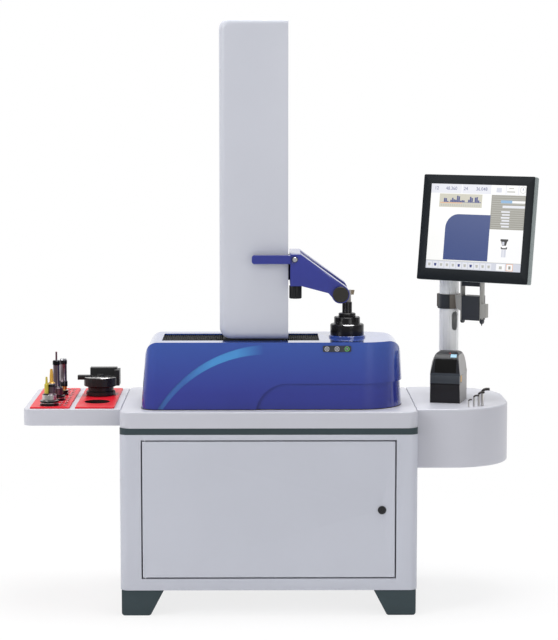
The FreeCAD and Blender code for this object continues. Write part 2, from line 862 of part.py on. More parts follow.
def tower_foot():
    """Plate on four bearing blocks that carries the column along the bed."""
    x0 = tower_left + 10
    x1 = tower_right - 10
    plate_low = bed_top + foot_block_height
    plate = block(x0, x1, slot_front + 4, slot_back - 4, plate_low, tower_bottom)
    half = rail_width / 2 + rail_clearance
    for y in rail_centres():
        for x in (x0, x1 - foot_block_length):
            shoe = block(x, x + foot_block_length, y - rail_width, y + rail_width, bed_top + 2, plate_low)
            neck = half - 3
            outline = [(y - half, bed_top), (y + half, bed_top), (y + half, bed_top + 6), (y + neck, bed_top + 9),
                       (y + half, bed_top + 12), (y + half, bed_top + rail_height + rail_clearance),
                       (y - half, bed_top + rail_height + rail_clearance), (y - half, bed_top + 12),
                       (y - neck, bed_top + 9), (y - half, bed_top + 6)]
            plate = plate.fuse(shoe.cut(prism_yz(outline, x - 1, x + foot_block_length + 1)))
    return plate


# Tower

def tower_shape(inset):
    """Upright housing whose two left corners are rounded in front view."""
    x0 = tower_left + inset
    x1 = tower_right - inset
    z0 = tower_bottom + inset
    z1 = tower_top - inset
    r = tower_corner - inset
    y0 = tower_front + inset
    half = r * (1 - math.sqrt(0.5))
    low_arc = Part.Arc(vec(x0 + r, y0, z0), vec(x0 + half, y0, z0 + half), vec(x0, y0, z0 + r)).toShape()
    high_arc = Part.Arc(vec(x0, y0, z1 - r), vec(x0 + half, y0, z1 - half), vec(x0 + r, y0, z1)).toShape()
    lines = [(vec(x0, y0, z0 + r), vec(x0, y0, z1 - r)), (vec(x0 + r, y0, z1), vec(x1, y0, z1)),
             (vec(x1, y0, z1), vec(x1, y0, z0)), (vec(x1, y0, z0), vec(x0 + r, y0, z0))]
    sides = [Part.LineSegment(a, b).toShape() for a, b in lines]
    wire = Part.Wire([low_arc, sides[0], high_arc, sides[1], sides[2], sides[3]])
    return Part.Face(wire).extrude(vec(0, tower_depth - 2 * inset, 0))


def tower_housing():
    outer = tower_shape(0)
    outer = round_edges(outer, tower_edge, lambda e: e.BoundBox.XMax < tower_left + tower_corner + 0.01
                        and e.BoundBox.YLength < 0.01 and e.BoundBox.XMin < tower_left + 1)
    inner = tower_shape(tower_wall)
    inner = round_edges(inner, tower_edge - tower_wall, lambda e: e.BoundBox.XMax < tower_left + tower_corner + 0.01
                        and e.BoundBox.YLength < 0.01 and e.BoundBox.XMin < tower_left + tower_wall + 1)
    shell = outer.cut(inner)
    half = slot_width_y / 2
    slot = block(tower_right - tower_wall - 1, tower_right + 1, column_y - half, column_y + half,
                 tower_bottom + slot_margin_low, tower_top - slot_margin_high)
    foot_hole = block(tower_left + tower_corner, tower_right - tower_wall - 6, slot_front + 4 + tower_wall,
                      slot_back - 4 - tower_wall, tower_bottom - 1, tower_bottom + tower_wall + 1)
    return shell.cut(slot).cut(foot_hole)


def tower_column():
    """Hollow aluminium column with two ears and the axle of the balance pulley."""
    y0 = column_y - column_depth / 2
    y1 = column_y + column_depth / 2
    column = block(column_left, column_right, y0, y1, tower_bottom, column_top)
    column = column.cut(block(column_left + column_wall, column_right - column_wall, y0 + column_wall, y1 - column_wall,
                              tower_bottom + column_wall, column_top + 1))
    reach = pulley_width / 2 + 2
    for side in (-1, 1):
        ya = column_y + side * reach
        yb = ya + side * ear_thickness
        outline = [(column_right - column_wall, column_top - 40), (column_right, column_top - 40),
                   (column_right, column_top), (pulley_x + 12, pulley_z + 12), (pulley_x - 12, pulley_z + 12),
                   (pulley_x - 16, column_top), (column_right - column_wall, column_top - 12)]
        column = column.fuse(prism_xz(outline, min(ya, yb), max(ya, yb)))
        bridge = block(column_right - column_wall, column_right, min(ya, yb), max(ya, yb), column_top - 40, column_top)
        column = column.fuse(bridge)
    axle = rod_y(pulley_x, column_y - reach - ear_thickness, pulley_z, pulley_axle_radius, 2 * (reach + ear_thickness))
    return column.fuse(axle)


def balance_pulley():
    half = pulley_width / 2
    wheel = rod_y(pulley_x, column_y - half, pulley_z, pulley_radius - band_thickness, pulley_width)
    rim_gap = pulley_radius - 14
    for side in (-1, 1):
        y = column_y - half - 1 if side < 0 else column_y + half - 4
        groove = rod_y(pulley_x, y, pulley_z, rim_gap, 5).cut(rod_y(pulley_x, y, pulley_z, pulley_axle_radius + 8, 5))
        wheel = wheel.cut(groove)
    return wheel.cut(rod_y(pulley_x, column_y - half - 1, pulley_z, pulley_axle_radius + running_fit, pulley_width + 2))


def band_wrap():
    half = band_width / 2
    inner = pulley_radius + seat_gap
    ring = rod_y(pulley_x, column_y - half, pulley_z, inner + band_thickness, band_width)
    ring = ring.cut(rod_y(pulley_x, column_y - half - 1, pulley_z, inner, band_width + 2))
    return ring.common(block(pulley_x - 60, pulley_x + 60, column_y - 30, column_y + 30, pulley_z, pulley_z + 60))


def band_run(x, side, low):
    half = band_width / 2
    near = x + side * seat_gap
    far = near + side * band_thickness
    return block(min(near, far), max(near, far), column_y - half, column_y + half, low, pulley_z)


def counterweight():
    half_x = weight_width / 2
    half_y = weight_depth / 2
    centre = (column_left + column_right) / 2
    weight = block(centre - half_x, centre + half_x, column_y - half_y, column_y + half_y, weight_top - weight_height, weight_top)
    weight = weight.makeChamfer(6, [e for e in weight.Edges if e.BoundBox.ZLength > 1])
    lug = block(band_left_x - 6, band_left_x + 6, column_y - band_width / 2, column_y + band_width / 2,
                weight_top, weight_top + 14)
    return weight.fuse(lug)


def column_rail():
    half = z_rail_width / 2
    neck = half - 3
    x0 = column_right
    x1 = column_face
    third = z_rail_height / 3
    outline = [(x0, -half), (x0 + third, -half), (x0 + 1.5 * third, -neck), (x0 + 2 * third, -half), (x1, -half),
               (x1, half), (x0 + 2 * third, half), (x0 + 1.5 * third, neck), (x0 + third, half), (x0, half)]
    wire = Part.makePolygon([vec(x, column_y + y, tower_bottom + 30) for x, y in outline + outline[:1]])
    return Part.Face(wire).extrude(vec(0, 0, column_top - tower_bottom - 60))


def z_carriage():
    """Bearing block on the column's rail that comes out through the slot and holds the carrier."""
    half = slot_width_y / 2 - 3
    body = block(column_right + 2, carrier_left, column_y - half, column_y + half, carriage_low, carriage_top)
    gap = rail_clearance
    rail_half = z_rail_width / 2 + gap
    neck = rail_half - 3
    third = z_rail_height / 3
    x0 = column_right
    x1 = column_face + gap
    outline = [(x0, -rail_half), (x0 + third, -rail_half), (x0 + 1.5 * third, -neck), (x0 + 2 * third, -rail_half),
               (x1, -rail_half), (x1, rail_half), (x0 + 2 * third, rail_half), (x0 + 1.5 * third, neck),
               (x0 + third, rail_half), (x0, rail_half)]
    wire = Part.makePolygon([vec(x, column_y + y, carriage_low - 1) for x, y in outline + outline[:1]])
    return body.cut(Part.Face(wire).extrude(vec(0, 0, carriage_height + 2)))


def bellows(x0, x1):
    """Pleated cover strip between two ends, as one folded sheet."""
    top = cover_top - bellows_sink
    low = top - bellows_height
    step = (x1 - x0) / (2 * bellows_pleats)
    upper = []
    for i in range(2 * bellows_pleats + 1):
        upper.append((x0 + i * step, low + bellows_sheet * 2 if i % 2 == 0 else top))
    lower = [(x, z - bellows_sheet * 2) for x, z in reversed(upper)]
    return prism_xz(upper + lower, slot_front + bellows_side_gap, slot_back - bellows_side_gap)


# Optical carrier

def carrier_outline():
    """Side outline of one arm: a slope that runs down to a round nose about the optic axis."""
    return [(carrier_left, carrier_top), (carrier_left + carrier_plate, carrier_top),
            (optic_x + nose_radius * 0.52, optic_z + nose_radius * 0.86),
            (optic_x - nose_radius * 0.75, optic_z - nose_radius * 0.55),
            (optic_x - nose_radius * 1.35, optic_z + 4), (carrier_right + 2, carrier_low), (carrier_left, carrier_low)]


def carrier_arm_solid(y0):
    arm = prism_xz(carrier_outline(), y0, y0 + carrier_arm)
    arm = arm.fuse(rod_y(optic_x, y0, optic_z, nose_radius, carrier_arm))
    return arm


def carrier_frame():
    """C-shaped bracket: front arm, rear arm and the bridge along the tower's right side."""
    front = carrier_arm_solid(carrier_front)
    rear = carrier_arm_solid(carrier_rear)
    bridge = block(carrier_left, carrier_right, carrier_front, carrier_rear + carrier_arm, carrier_low, carrier_top)
    frame = front.fuse(rear).fuse(bridge).removeSplitter()
    for y in (carrier_front, carrier_rear):
        frame = frame.cut(rod_y(optic_x, y - 1, optic_z, lens_radius + 1, carrier_arm + 2))
    frame = frame.cut(release_pocket())
    return frame


def release_pocket():
    z = handle_z()
    return rod_y(release_x(), carrier_front - 1, z, release_radius + button_fit, release_height + release_travel + 3)


def handle_z():
    return carrier_top - handle_height / 2 - 2


def release_x():
    return carrier_left + 14


def carrier_handle():
    z0 = handle_z() - handle_height / 2
    y1 = tower_front - handle_gap
    bar = block(handle_left, carrier_left, y1 - handle_depth, y1, z0, z0 + handle_height)
    bar = round_edges(bar, handle_height * 0.3, lambda e: e.BoundBox.XMax < handle_left + 0.01 and e.BoundBox.YLength > 1)
    return round_edges(bar, 2.0, lambda e: e.BoundBox.XLength > 40 and e.BoundBox.YMax < y1 - 1)


def release_button():
    y = carrier_front - 1.5
    cap = rod_y(release_x(), y, handle_z(), release_radius, release_height)
    return break_edges(cap, 1.0, lambda e: e.BoundBox.YMax < y + 0.01)


def camera_housing():
    """Round front optic: a black cap on the nose with a tube through the arm."""
    cap = rod_y(optic_x, carrier_front - optic_proud, optic_z, optic_radius, optic_proud)
    cap = break_edges(cap, 1.5, lambda e: e.BoundBox.YMax < carrier_front - optic_proud + 0.01)
    tube = rod_y(optic_x, carrier_front, optic_z, lens_radius + 1, carrier_arm - lens_thickness - 1)
    return cap.fuse(tube)


def light_housing():
    back = carrier_rear + carrier_arm
    cap = rod_y(optic_x, back, optic_z, optic_radius, optic_proud)
    cap = break_edges(cap, 1.5, lambda e: e.BoundBox.YMin > back + optic_proud - 0.01)
    tube = rod_y(optic_x, carrier_rear + lens_thickness + 1, optic_z, lens_radius + 1, carrier_arm - lens_thickness - 1)
    return cap.fuse(tube)


def optic_lenses():
    front = rod_y(optic_x, carrier_front + carrier_arm - lens_thickness - 1, optic_z, lens_radius, lens_thickness)
    rear = rod_y(optic_x, carrier_rear + 1, optic_z, lens_radius, lens_thickness)
    return Part.makeCompound([front, rear])


def fine_knob():
    x = (carrier_left + carrier_right) / 2
    y = carrier_front + carrier_arm / 2
    top = carrier_low - seat_gap
    knob = disc(x, y, top - fine_knob_height, fine_knob_radius, fine_knob_height)
    knob = knob.makeChamfer(2.0, [e for e in knob.Edges if abs(e.BoundBox.ZMax - top + fine_knob_height) < 0.01])
    for i in range(fine_knob_grooves):
        turn = 2 * math.pi * i / fine_knob_grooves
        groove = disc(x + fine_knob_radius * math.cos(turn), y + fine_knob_radius * math.sin(turn),
                      top - fine_knob_height - 1, 1.4, fine_knob_height - 5)
        knob = knob.cut(groove)
    return knob


# Spindle and tool

def bearing_levels():
    high = cover_top - bearing_drop
    low = spindle_bottom + bearing_margin
    return low, high


def spindle_housing():
    base = work_top + bed_plate
    housing = turned([(bearing_radius, base), (spindle_housing_radius, base), (spindle_housing_radius, cover_top - 12),
                      (spindle_ring_radius, cover_top - 8), (spindle_ring_radius, ring_top),
                      (spindle_flange_radius + 0.5, ring_top), (spindle_flange_radius + 0.5, cover_top - 10),
                      (bearing_radius, cover_top - 14)], spindle_x, spindle_y)
    return break_edges(housing, 1.5, lambda e: at_height(ring_top)(e) and e.BoundBox.XLength > 2 * spindle_ring_radius - 1)


def spindle_bearings():
    rings = []
    for z in bearing_levels():
        ring = turned([(spindle_shaft_radius + running_fit, z), (bearing_radius, z), (bearing_radius, z + bearing_height),
                       (spindle_shaft_radius + running_fit, z + bearing_height)], spindle_x, spindle_y)
        rings.append(ring)
    return Part.makeCompound(rings)


def spindle():
    """Hollow spindle with a flange and a steep taper socket."""
    bottom = spindle_bottom
    low_r = taper_radius - taper_slope * taper_length
    return turned([(low_r * 0.5, bottom), (spindle_shaft_radius, bottom), (spindle_shaft_radius, cover_top - 9),
                   (spindle_flange_radius, cover_top - 9), (spindle_flange_radius, ring_top - seat_gap),
                   (taper_radius, ring_top - seat_gap), (low_r, ring_top - seat_gap - taper_length),
                   (low_r * 0.5, ring_top - seat_gap - taper_length)], spindle_x, spindle_y)


def tool_adapter():
    z = adapter_bottom
    low_r = taper_radius - taper_slope * (taper_length - 4) - taper_gap
    top = z + adapter_height
    nose_top = top + nose_ring_height
    body = turned([(0, z - taper_length + 4), (low_r, z - taper_length + 4), (taper_radius - taper_gap, z),
                   (adapter_radius, z), (adapter_radius, top - adapter_chamfer), (adapter_radius - adapter_chamfer, top),
                   (nose_ring_radius, top), (nose_ring_radius, nose_top - 2), (nose_ring_radius - 2, nose_top),
                   (0, nose_top)], spindle_x, spindle_y)
    for i in range(nose_notches):
        turn = 360.0 * i / nose_notches
        notch = block(spindle_x + nose_ring_radius - 7, spindle_x + nose_ring_radius + 2, spindle_y - 6, spindle_y + 6,
                      nose_top - 12, nose_top + 1)
        notch.rotate(vec(spindle_x, spindle_y, 0), UP, turn)
        body = body.cut(notch)
    return body.cut(disc(spindle_x, spindle_y, nose_top - bar_shank_depth, bar_radius - 2, bar_shank_depth + 1))


def boring_bar():
    z = adapter_bottom + adapter_height + nose_ring_height
    nut_top = z + nut_height
    bar_top = nut_top + bar_height
    body = turned([(0, z - bar_shank_depth), (bar_radius - 2, z - bar_shank_depth), (bar_radius - 2, z), (nut_radius, z),
                   (nut_radius, nut_top - 2), (nut_radius - 2, nut_top), (bar_radius, nut_top), (bar_radius, bar_top),
                   (0, bar_top)], spindle_x, spindle_y)
    head = block(spindle_x - 10, spindle_x + 12, spindle_y - 9, spindle_y + 9, bar_top, bar_top + tip_block_height)
    head = head.makeChamfer(4, [e for e in head.Edges if e.BoundBox.XMax < spindle_x - 9 and e.BoundBox.YLength > 1])
    return body.fuse(head)


def cutting_insert():
    z = adapter_bottom + adapter_height + nose_ring_height + nut_height + bar_height + tip_block_height
    x0 = spindle_x + 12
    top = z
    outline = [(x0, top - insert_height), (x0 + insert_length * 0.6, top - insert_height), (x0 + insert_length * 0.8, top - 2),
               (x0 + insert_length * 0.7, top), (x0, top)]
    return prism_xz(outline, spindle_y - insert_thickness, spindle_y)


# Monitor

def turn_monitor(shape, tilted):
    """Place a piece drawn about the monitor's centre, front towards -Y."""
    if tilted:
        shape.rotate(vec(0, 0, 0), RIGHT, -monitor_tilt)
    shape.rotate(vec(0, 0, 0), UP, -monitor_yaw)
    shape.translate(vec(monitor_x, monitor_y, monitor_z))
    return shape


def pivot_point():
    """Tilt axis in the monitor's own frame before tilting, as (y, z)."""
    tilt = math.radians(monitor_tilt)
    return pivot_back * math.cos(tilt), -pivot_back * math.sin(tilt)


def monitor_housing():
    w = monitor_width / 2
    h = monitor_height / 2
    case = block(-w, w, 0, monitor_thickness, -h, h)
    case = round_edges(case, monitor_corner, lambda e: e.BoundBox.YLength > 1)
    sw = screen_width / 2
    sh = screen_height / 2
    case = case.cut(block(-sw, sw, -1, screen_recess + glass_thickness, screen_rise - sh, screen_rise + sh))
    bulge = block(-w * 0.62, w * 0.62, monitor_thickness, monitor_thickness + 10, -h * 0.6, h * 0.6)
    bulge = bulge.makeChamfer(9, [e for e in bulge.Edges if e.BoundBox.YMin > monitor_thickness + 9])
    boss = block(plate_offset - boss_width / 2, plate_offset + boss_width / 2, monitor_thickness, pivot_back,
                 -boss_height / 2, boss_height / 2)
    knuckle = rod_x(plate_offset - boss_width / 2, pivot_back, 0, pivot_radius * 2, boss_width)
    pin_length = plate_spacing + 2 * plate_thickness
    pin = rod_x(plate_offset - pin_length / 2, pivot_back, 0, pivot_radius, pin_length)
    return turn_monitor(case.fuse(bulge).fuse(boss).fuse(knuckle).fuse(pin).removeSplitter(), True)


def monitor_screen():
    w = screen_width / 2 - 0.2
    h = screen_height / 2 - 0.2
    glass = block(-w, w, screen_recess, screen_recess + glass_thickness, screen_rise - h, screen_rise + h)
    return turn_monitor(glass, True)


def bracket_levels(z):
    return z - monitor_z


def monitor_arm():
    """Metal hub on the pole sleeve, an arm and the two plates that hold the tilt pin."""
    py, pz = pivot_point()
    low = bracket_levels(plate_low)
    high = pz + plate_over
    y0 = py - plate_depth / 2
    plates = []
    for side in (-1, 1):
        inner = plate_offset + side * plate_spacing / 2
        outer = inner + side * plate_thickness
        plate = block(min(inner, outer), max(inner, outer), y0, y0 + plate_depth, low, high)
        plate = round_edges(plate, plate_corner, lambda e: e.BoundBox.XLength > 1 and e.BoundBox.YLength < 0.01 and e.BoundBox.ZLength < 0.01)
        plates.append(plate.cut(rod_x(min(inner, outer) - 1, py, pz, pivot_radius + running_fit, plate_thickness + 2)))
    cross = block(plate_offset - plate_spacing / 2, plate_offset + plate_spacing / 2, y0, y0 + plate_depth,
                  bracket_levels(cross_low), bracket_levels(cross_low + cross_height))
    right = plate_offset + plate_spacing / 2 + plate_thickness
    side = block(right, right + side_block_width, y0, y0 + plate_depth * 0.8, bracket_levels(side_block_low),
                 bracket_levels(side_block_low + side_block_height))
    cone_z = bracket_levels(plate_low) - foot_cone_sink
    cone = Part.makeCone(foot_cone_tip, foot_cone_radius, foot_cone_height, vec(right - 1, y0 + plate_depth / 3, cone_z), UP)
    bracket = plates[0].fuse(plates[1]).fuse(cross).fuse(side).fuse(cone)
    bracket = turn_monitor(bracket, False)
    hub_inner = pole_radius + running_fit + sleeve_wall + running_fit
    hub = disc(pole_x, pole_y, sleeve_low + sleeve_lip + seat_gap, hub_inner + hub_wall, sleeve_height - sleeve_lip - seat_gap)
    hub = hub.cut(disc(pole_x, pole_y, sleeve_low, hub_inner, sleeve_height + 1))
    mouth = Part.makeCylinder(hub_inner + 2 * hub_wall, sleeve_height + 2, vec(0, 0, 0), UP, hub_opening)
    mouth.rotate(vec(0, 0, 0), UP, hub_opening_at - hub_opening / 2)
    mouth.translate(vec(pole_x, pole_y, sleeve_low))
    hub = hub.cut(mouth)
    plate_x = plate_offset - plate_spacing / 2 - plate_thickness
    target = vec(plate_x + 1, y0 + plate_depth / 2, 0)
    target = FreeCAD.Rotation(UP, -monitor_yaw).multVec(target)
    target = target.add(vec(monitor_x, monitor_y, 0))
    span = math.hypot(target.x - pole_x, target.y - pole_y)
    heading = math.degrees(math.atan2(target.y - pole_y, target.x - pole_x))
    arm_low = sleeve_low + sleeve_lip + seat_gap
    arm_top = sleeve_low + sleeve_height
    clear = hub_inner + 2 * hub_wall
    outline = [(hub_inner + 1, arm_low), (hub_inner + 1, arm_top), (span, arm_top), (span, arm_low - arm_bar_drop),
               (clear, arm_low)]
    arm = prism_xz(outline, -arm_bar_width / 2, arm_bar_width / 2)
    arm.rotate(vec(0, 0, 0), UP, heading)
    arm.translate(vec(pole_x, pole_y, 0))
    between = block(plate_offset - plate_spacing / 2, plate_offset + plate_spacing / 2, y0 - 30, y0 + plate_depth + 30, low, high)
    arm = arm.cut(turn_monitor(between, False))
    return bracket.fuse(hub).fuse(arm)


def arm_box():
    py, pz = pivot_point()
    half = plate_spacing / 2 - seat_gap
    y0 = py - plate_depth / 2 - 4
    box = block(plate_offset - half, plate_offset + half, y0, y0 + arm_box_depth, bracket_levels(arm_box_low),
                bracket_levels(arm_box_low + arm_box_height))
    box = round_edges(box, 2.5, lambda e: e.BoundBox.ZLength > 1)
    return turn_monitor(box, False)


def pole_clamp():
    inner = pole_radius + running_fit
    outer = inner + sleeve_wall
    lip = outer + sleeve_lip_width
    return turned([(inner, sleeve_low), (lip, sleeve_low), (lip, sleeve_low + sleeve_lip),
                   (outer, sleeve_low + sleeve_lip), (outer, sleeve_low + sleeve_height), (inner, sleeve_low + sleeve_height)],
                  pole_x, pole_y)


def monitor_pole():
    bottom = work_top - pole_socket_depth
    pole = disc(pole_x, pole_y, bottom, pole_radius, pole_top - bottom)
    pole = pole.cut(disc(pole_x, pole_y, bottom - 1, pole_radius - pole_wall, pole_top - bottom - 5))
    for i in range(pole_grooves):
        turn = 2 * math.pi * (i + 0.5) / pole_grooves
        pole = pole.cut(disc(pole_x + pole_radius * math.cos(turn), pole_y + pole_radius * math.sin(turn),
                             work_top, pole_groove_radius, pole_top - work_top + 1))
    half = cable_slot_width / 2
    slot = block(-half, half, -pole_radius - 5, 0, cable_slot_low + half, cable_slot_high - half)
    for z in (cable_slot_low + half, cable_slot_high - half):
        slot = slot.fuse(rod_y(0, -pole_radius - 5, z, half, pole_radius + 5))
    slot.rotate(vec(0, 0, 0), UP, cable_slot_angle)
    slot.translate(vec(pole_x, pole_y, 0))
    return pole.cut(slot)


# Label printer

def place_printer(shape):
    shape.rotate(vec(0, 0, 0), UP, -printer_yaw)
    shape.translate(vec(printer_x, printer_y, work_top))
    return shape


def printer_hinge():
    """Lid hinge in the printer's own frame, as (y, z)."""
    return printer_depth - printer_hinge_inset, printer_split + 2


def printer_plan(low, high):
    """Space between two heights inside the printer's rounded plan."""
    half = printer_width / 2
    return rounded_block(-half, half, 0, printer_depth, low, high, (printer_corner,) * 4)


def printer_base():
    """Lower case: drafted front, a proud band under the lid, the roll bay and a cradle for the hinge barrel."""
    half = printer_width / 2
    d = printer_depth
    hy, hz = printer_hinge()
    band = printer_band_low
    back = printer_band_proud
    front = [(back, printer_split), (0, printer_split - 2 * back), (0, band + printer_groove),
             (back + printer_groove, band), (back + printer_groove, band - printer_groove),
             (back, band - 2 * printer_groove), (back + printer_front_draft, 0)]
    body = prism_yz([(d, 0), (d, hz), (hy, hz), (hy, printer_split)] + front, -half, half)
    body = body.common(printer_plan(0, hz + 1))
    body = body.cut(rod_x(-half - 1, hy, hz, printer_hinge_radius + printer_gap, 2 * half + 2))
    bay_back = hy - printer_hinge_radius - printer_gap - printer_wall
    body = body.cut(block(-half + printer_wall, half - printer_wall, printer_front_wall, bay_back, printer_wall,
                          printer_split + 1))
    for side in (-1, 1):
        x = side * half
        inner = side * (half - latch_thickness)
        body = body.cut(block(min(x, inner), max(x, inner), latch_front, latch_front + latch_length + 2 * latch_travel,
                              printer_split - latch_height - 2, printer_split + 1))
    return place_printer(body)


def lid_side(low, high):
    """Side view of the lid: a curve from the front up to a flat crown, then down to the hinge barrel."""
    hy, hz = printer_hinge()
    rise = high - low
    lean = math.radians(50)
    heel = vec(0, hy + printer_hinge_radius * math.cos(lean), hz + printer_hinge_radius * math.sin(lean))
    crown = printer_crown_front
    curve = Part.BezierCurve()
    curve.setPoles([vec(0, printer_band_proud, low), vec(0, crown * 0.17, low + rise * 0.62), vec(0, crown * 0.42, high),
                    vec(0, crown, high)])
    rear = Part.BezierCurve()
    back = printer_depth - printer_crown_back
    rear.setPoles([vec(0, back, high), vec(0, back + printer_crown_back * 0.6, high), heel + vec(0, 0, rise * 0.3), heel])
    corner = vec(0, hy, low)
    return Part.Wire([curve.toShape(), Part.LineSegment(vec(0, crown, high), vec(0, back, high)).toShape(),
                      rear.toShape(), Part.LineSegment(heel, corner).toShape(),
                      Part.LineSegment(corner, vec(0, printer_band_proud, low)).toShape()])


def lid_front(low, high):
    """Front view of the lid: sides that lean in and turn over into round shoulders."""
    half = printer_width / 2
    rise = high - low
    edges = []
    for side in (-1, 1):
        curve = Part.BezierCurve()
        curve.setPoles([vec(side * half, 0, low), vec(side * (half - printer_taper), 0, low + rise * 0.62),
                        vec(side * (half - 1.5 * printer_taper), 0, high), vec(side * (half - printer_shoulder), 0, high)])
        edges.append(curve.toShape())
    flat = half - printer_shoulder
    top = Part.LineSegment(vec(-flat, 0, high), vec(flat, 0, high)).toShape()
    bottom = Part.LineSegment(vec(half, 0, low), vec(-half, 0, low)).toShape()
    return Part.Wire([edges[0], top, edges[1], bottom])


def printer_lid():
    """Upper case, where its side view and its front view meet, hollow for the roll."""
    half = printer_width / 2
    hy, hz = printer_hinge()
    low = printer_split + printer_gap
    high = printer_height
    lid = Part.Face(lid_side(low, high)).extrude(vec(2 * half, 0, 0))
    lid.translate(vec(-half, 0, 0))
    lid = lid.common(Part.Face(lid_front(low, high)).extrude(vec(0, printer_depth, 0)))
    lid = lid.common(printer_plan(low, high + 1))
    bay_back = hy - printer_hinge_radius - printer_gap - printer_wall
    rise = high - low
    roof = high - printer_roof
    side_view = [(printer_front_wall, low - 1), (bay_back, low - 1), (bay_back, low + rise * 0.3), (bay_back * 0.8, roof),
                 (printer_crown_front * 0.9, roof), (printer_crown_front * 0.5, low + rise * 0.7),
                 (printer_front_wall, low + rise * 0.28)]
    room = prism_yz(side_view, -half, half)
    edge = half - printer_wall
    front_view = [(-edge, low - 1), (-edge + printer_taper, low + rise * 0.4), (-half + printer_shoulder, roof),
                  (half - printer_shoulder, roof), (edge - printer_taper, low + rise * 0.4), (edge, low - 1)]
    lid = lid.cut(room.common(prism_xz(front_view, 0, printer_depth)))
    return place_printer(lid.fuse(rod_x(-half, hy, hz, printer_hinge_radius, 2 * half)))


def printer_latches():
    half = printer_width / 2
    latches = []
    for side in (-1, 1):
        inner = side * (half - latch_thickness + printer_gap)
        outer = side * (half + 1)
        latches.append(block(min(inner, outer), max(inner, outer), latch_front + latch_travel,
                             latch_front + latch_travel + latch_length,
                             printer_split - latch_height, printer_split - printer_gap))
    return place_printer(Part.makeCompound(latches))


# Hex keys

def key_place(index):
    """The keys stand in a slanting row, so that each short leg clears the next key."""
    return half_width + key_from_cabinet[index], key_y + index * key_row_step


def hex_key(index):
    """Bent hexagon bar: the long leg stands in the console, the short leg points right."""
    x, y = key_place(index)
    flats = key_flats[index]
    corner = flats / math.sqrt(3)
    bend = flats * 1.5
    top = work_top + key_heights[index] - flats / 2
    low = work_top - key_depth
    hexagon = [vec(x + corner * math.cos(math.radians(60 * i)), y + corner * math.sin(math.radians(60 * i)), low)
               for i in range(6)]
    section = Part.Face(Part.makePolygon(hexagon + hexagon[:1]))
    leg = section.extrude(vec(0, 0, top - bend - low))
    section.translate(vec(0, 0, top - bend - low))
    elbow = section.revolve(vec(x + bend, y, top - bend), BACK, 90)
    arm_face = [f for f in elbow.Faces if abs(f.CenterOfMass.x - x - bend) < 1e-3 and f.BoundBox.XLength < 1e-3][0]
    arm = arm_face.extrude(vec(key_reaches[index] - bend, 0, 0))
    return leg.fuse(elbow).fuse(arm)


# Tools in the racks

def standing_tool(points, x, y):
    """Turned piece from (radius, height above the rack) points."""
    return turned([(r, rack_top + z) for r, z in points], x, y)


def shank_tool(outline, place):
    """Turned tool whose shank stands in a socket of the rack and whose first flange rests on it."""
    x, y = tool_axis(place)
    shank = shank_socket_radius - tool_shank_gap
    depth = shank_socket_depth - shank_socket_spare
    foot = [(0, -depth), (shank, -depth), (shank, tool_lift), (outline[0][0], tool_lift)]
    return standing_tool(foot + list(outline), x, y)


def chamfer_tool():
    body = shank_tool(chamfer_tool_outline, chamfer_tool_place)
    x, y = tool_axis(chamfer_tool_place)
    tall = standing_tool(list(tall_cutter_outline), x + tall_cutter_place[0], y + tall_cutter_place[1])
    short = standing_tool(list(short_cutter_outline), x + short_cutter_place[0], y + short_cutter_place[1])
    return body.fuse(tall).fuse(short)


def drill_tool():
    return shank_tool(drill_tool_outline, drill_tool_place)


def bore_tool():
    return shank_tool(bore_tool_outline, bore_tool_place)


def on_pocket(spans, x, y):
    x0, x1, y0, y1, z0, z1 = spans
    return block(x + x0, x + x1, y + y0, y + y1, rack_top + z0, rack_top + z1)


def turret_holder():
    """Heavy holder in the second pocket: spigot, drum, head, side lug and a clamping block."""
    x, y = pocket_centre(1)
    spigot = pocket_radius - tool_shank_gap
    rim = pocket_radius + turret_rim
    low = shank_socket_spare - pocket_depth
    body = standing_tool([(0, low), (spigot, low), (spigot, tool_lift), (rim, tool_lift), (rim, turret_rim_height),
                          (pocket_radius, turret_rim_height + turret_rim), (pocket_radius, turret_drum_height),
                          (turret_head_radius, turret_drum_height + turret_head_radius - pocket_radius),
                          (turret_head_radius, turret_head_height), (0, turret_head_height)], x, y)
    for spans in (turret_lug, turret_clamp, turret_cheek):
        body = body.fuse(on_pocket(spans, x, y))
    return body.fuse(disc(x, y, rack_top + turret_head_height, turret_screw_radius, turret_screw_height))


os.makedirs("parts", exist_ok=True)
save("cabinet_body", cabinet_body())
save("cabinet_feet", cabinet_feet())
save("trim_band", trim_band())
save("worktop", worktop())
save("door_hinge_pins", door_hinge_pins())
save("door_panel", door_panel())
save("door_lock", door_lock())
save("side_tray", side_tray())
save("shank_rack", shank_rack())
save("holder_rack", holder_rack())
save("side_console", side_console())
save("base_cover", base_cover())
save("control_strip", control_strip())
for number, place in enumerate(("left", "middle", "right")):
    save("control_button_" + place, control_button(number))
save("machine_bed", machine_bed())
save("bed_rails", bed_rails())
save("tower_foot", tower_foot())
save("tower_housing", tower_housing())
save("tower_column", tower_column())
save("column_rail", column_rail())
save("balance_pulley", balance_pulley())
save("counterweight", counterweight())
save("band_wrap", band_wrap())
save("band_carriage_run", band_run(band_right_x, 1, carriage_top))
save("band_weight_run", band_run(band_left_x, -1, weight_top + 14))
save("bellows_left", bellows(slot_left, tower_left + 10))
save("bellows_right", bellows(tower_right - 10, slot_right))
save("z_carriage", z_carriage())
save("carrier_frame", carrier_frame())
save("carrier_handle", carrier_handle())
save("release_button", release_button())
save("camera_housing", camera_housing())
save("light_housing", light_housing())
save("optic_lenses", optic_lenses())
save("fine_knob", fine_knob())
save("spindle_housing", spindle_housing())
save("spindle_bearings", spindle_bearings())
save("spindle", spindle())
save("tool_adapter", tool_adapter())
save("boring_bar", boring_bar())
save("cutting_insert", cutting_insert())
save("monitor_pole", monitor_pole())
save("pole_clamp", pole_clamp())
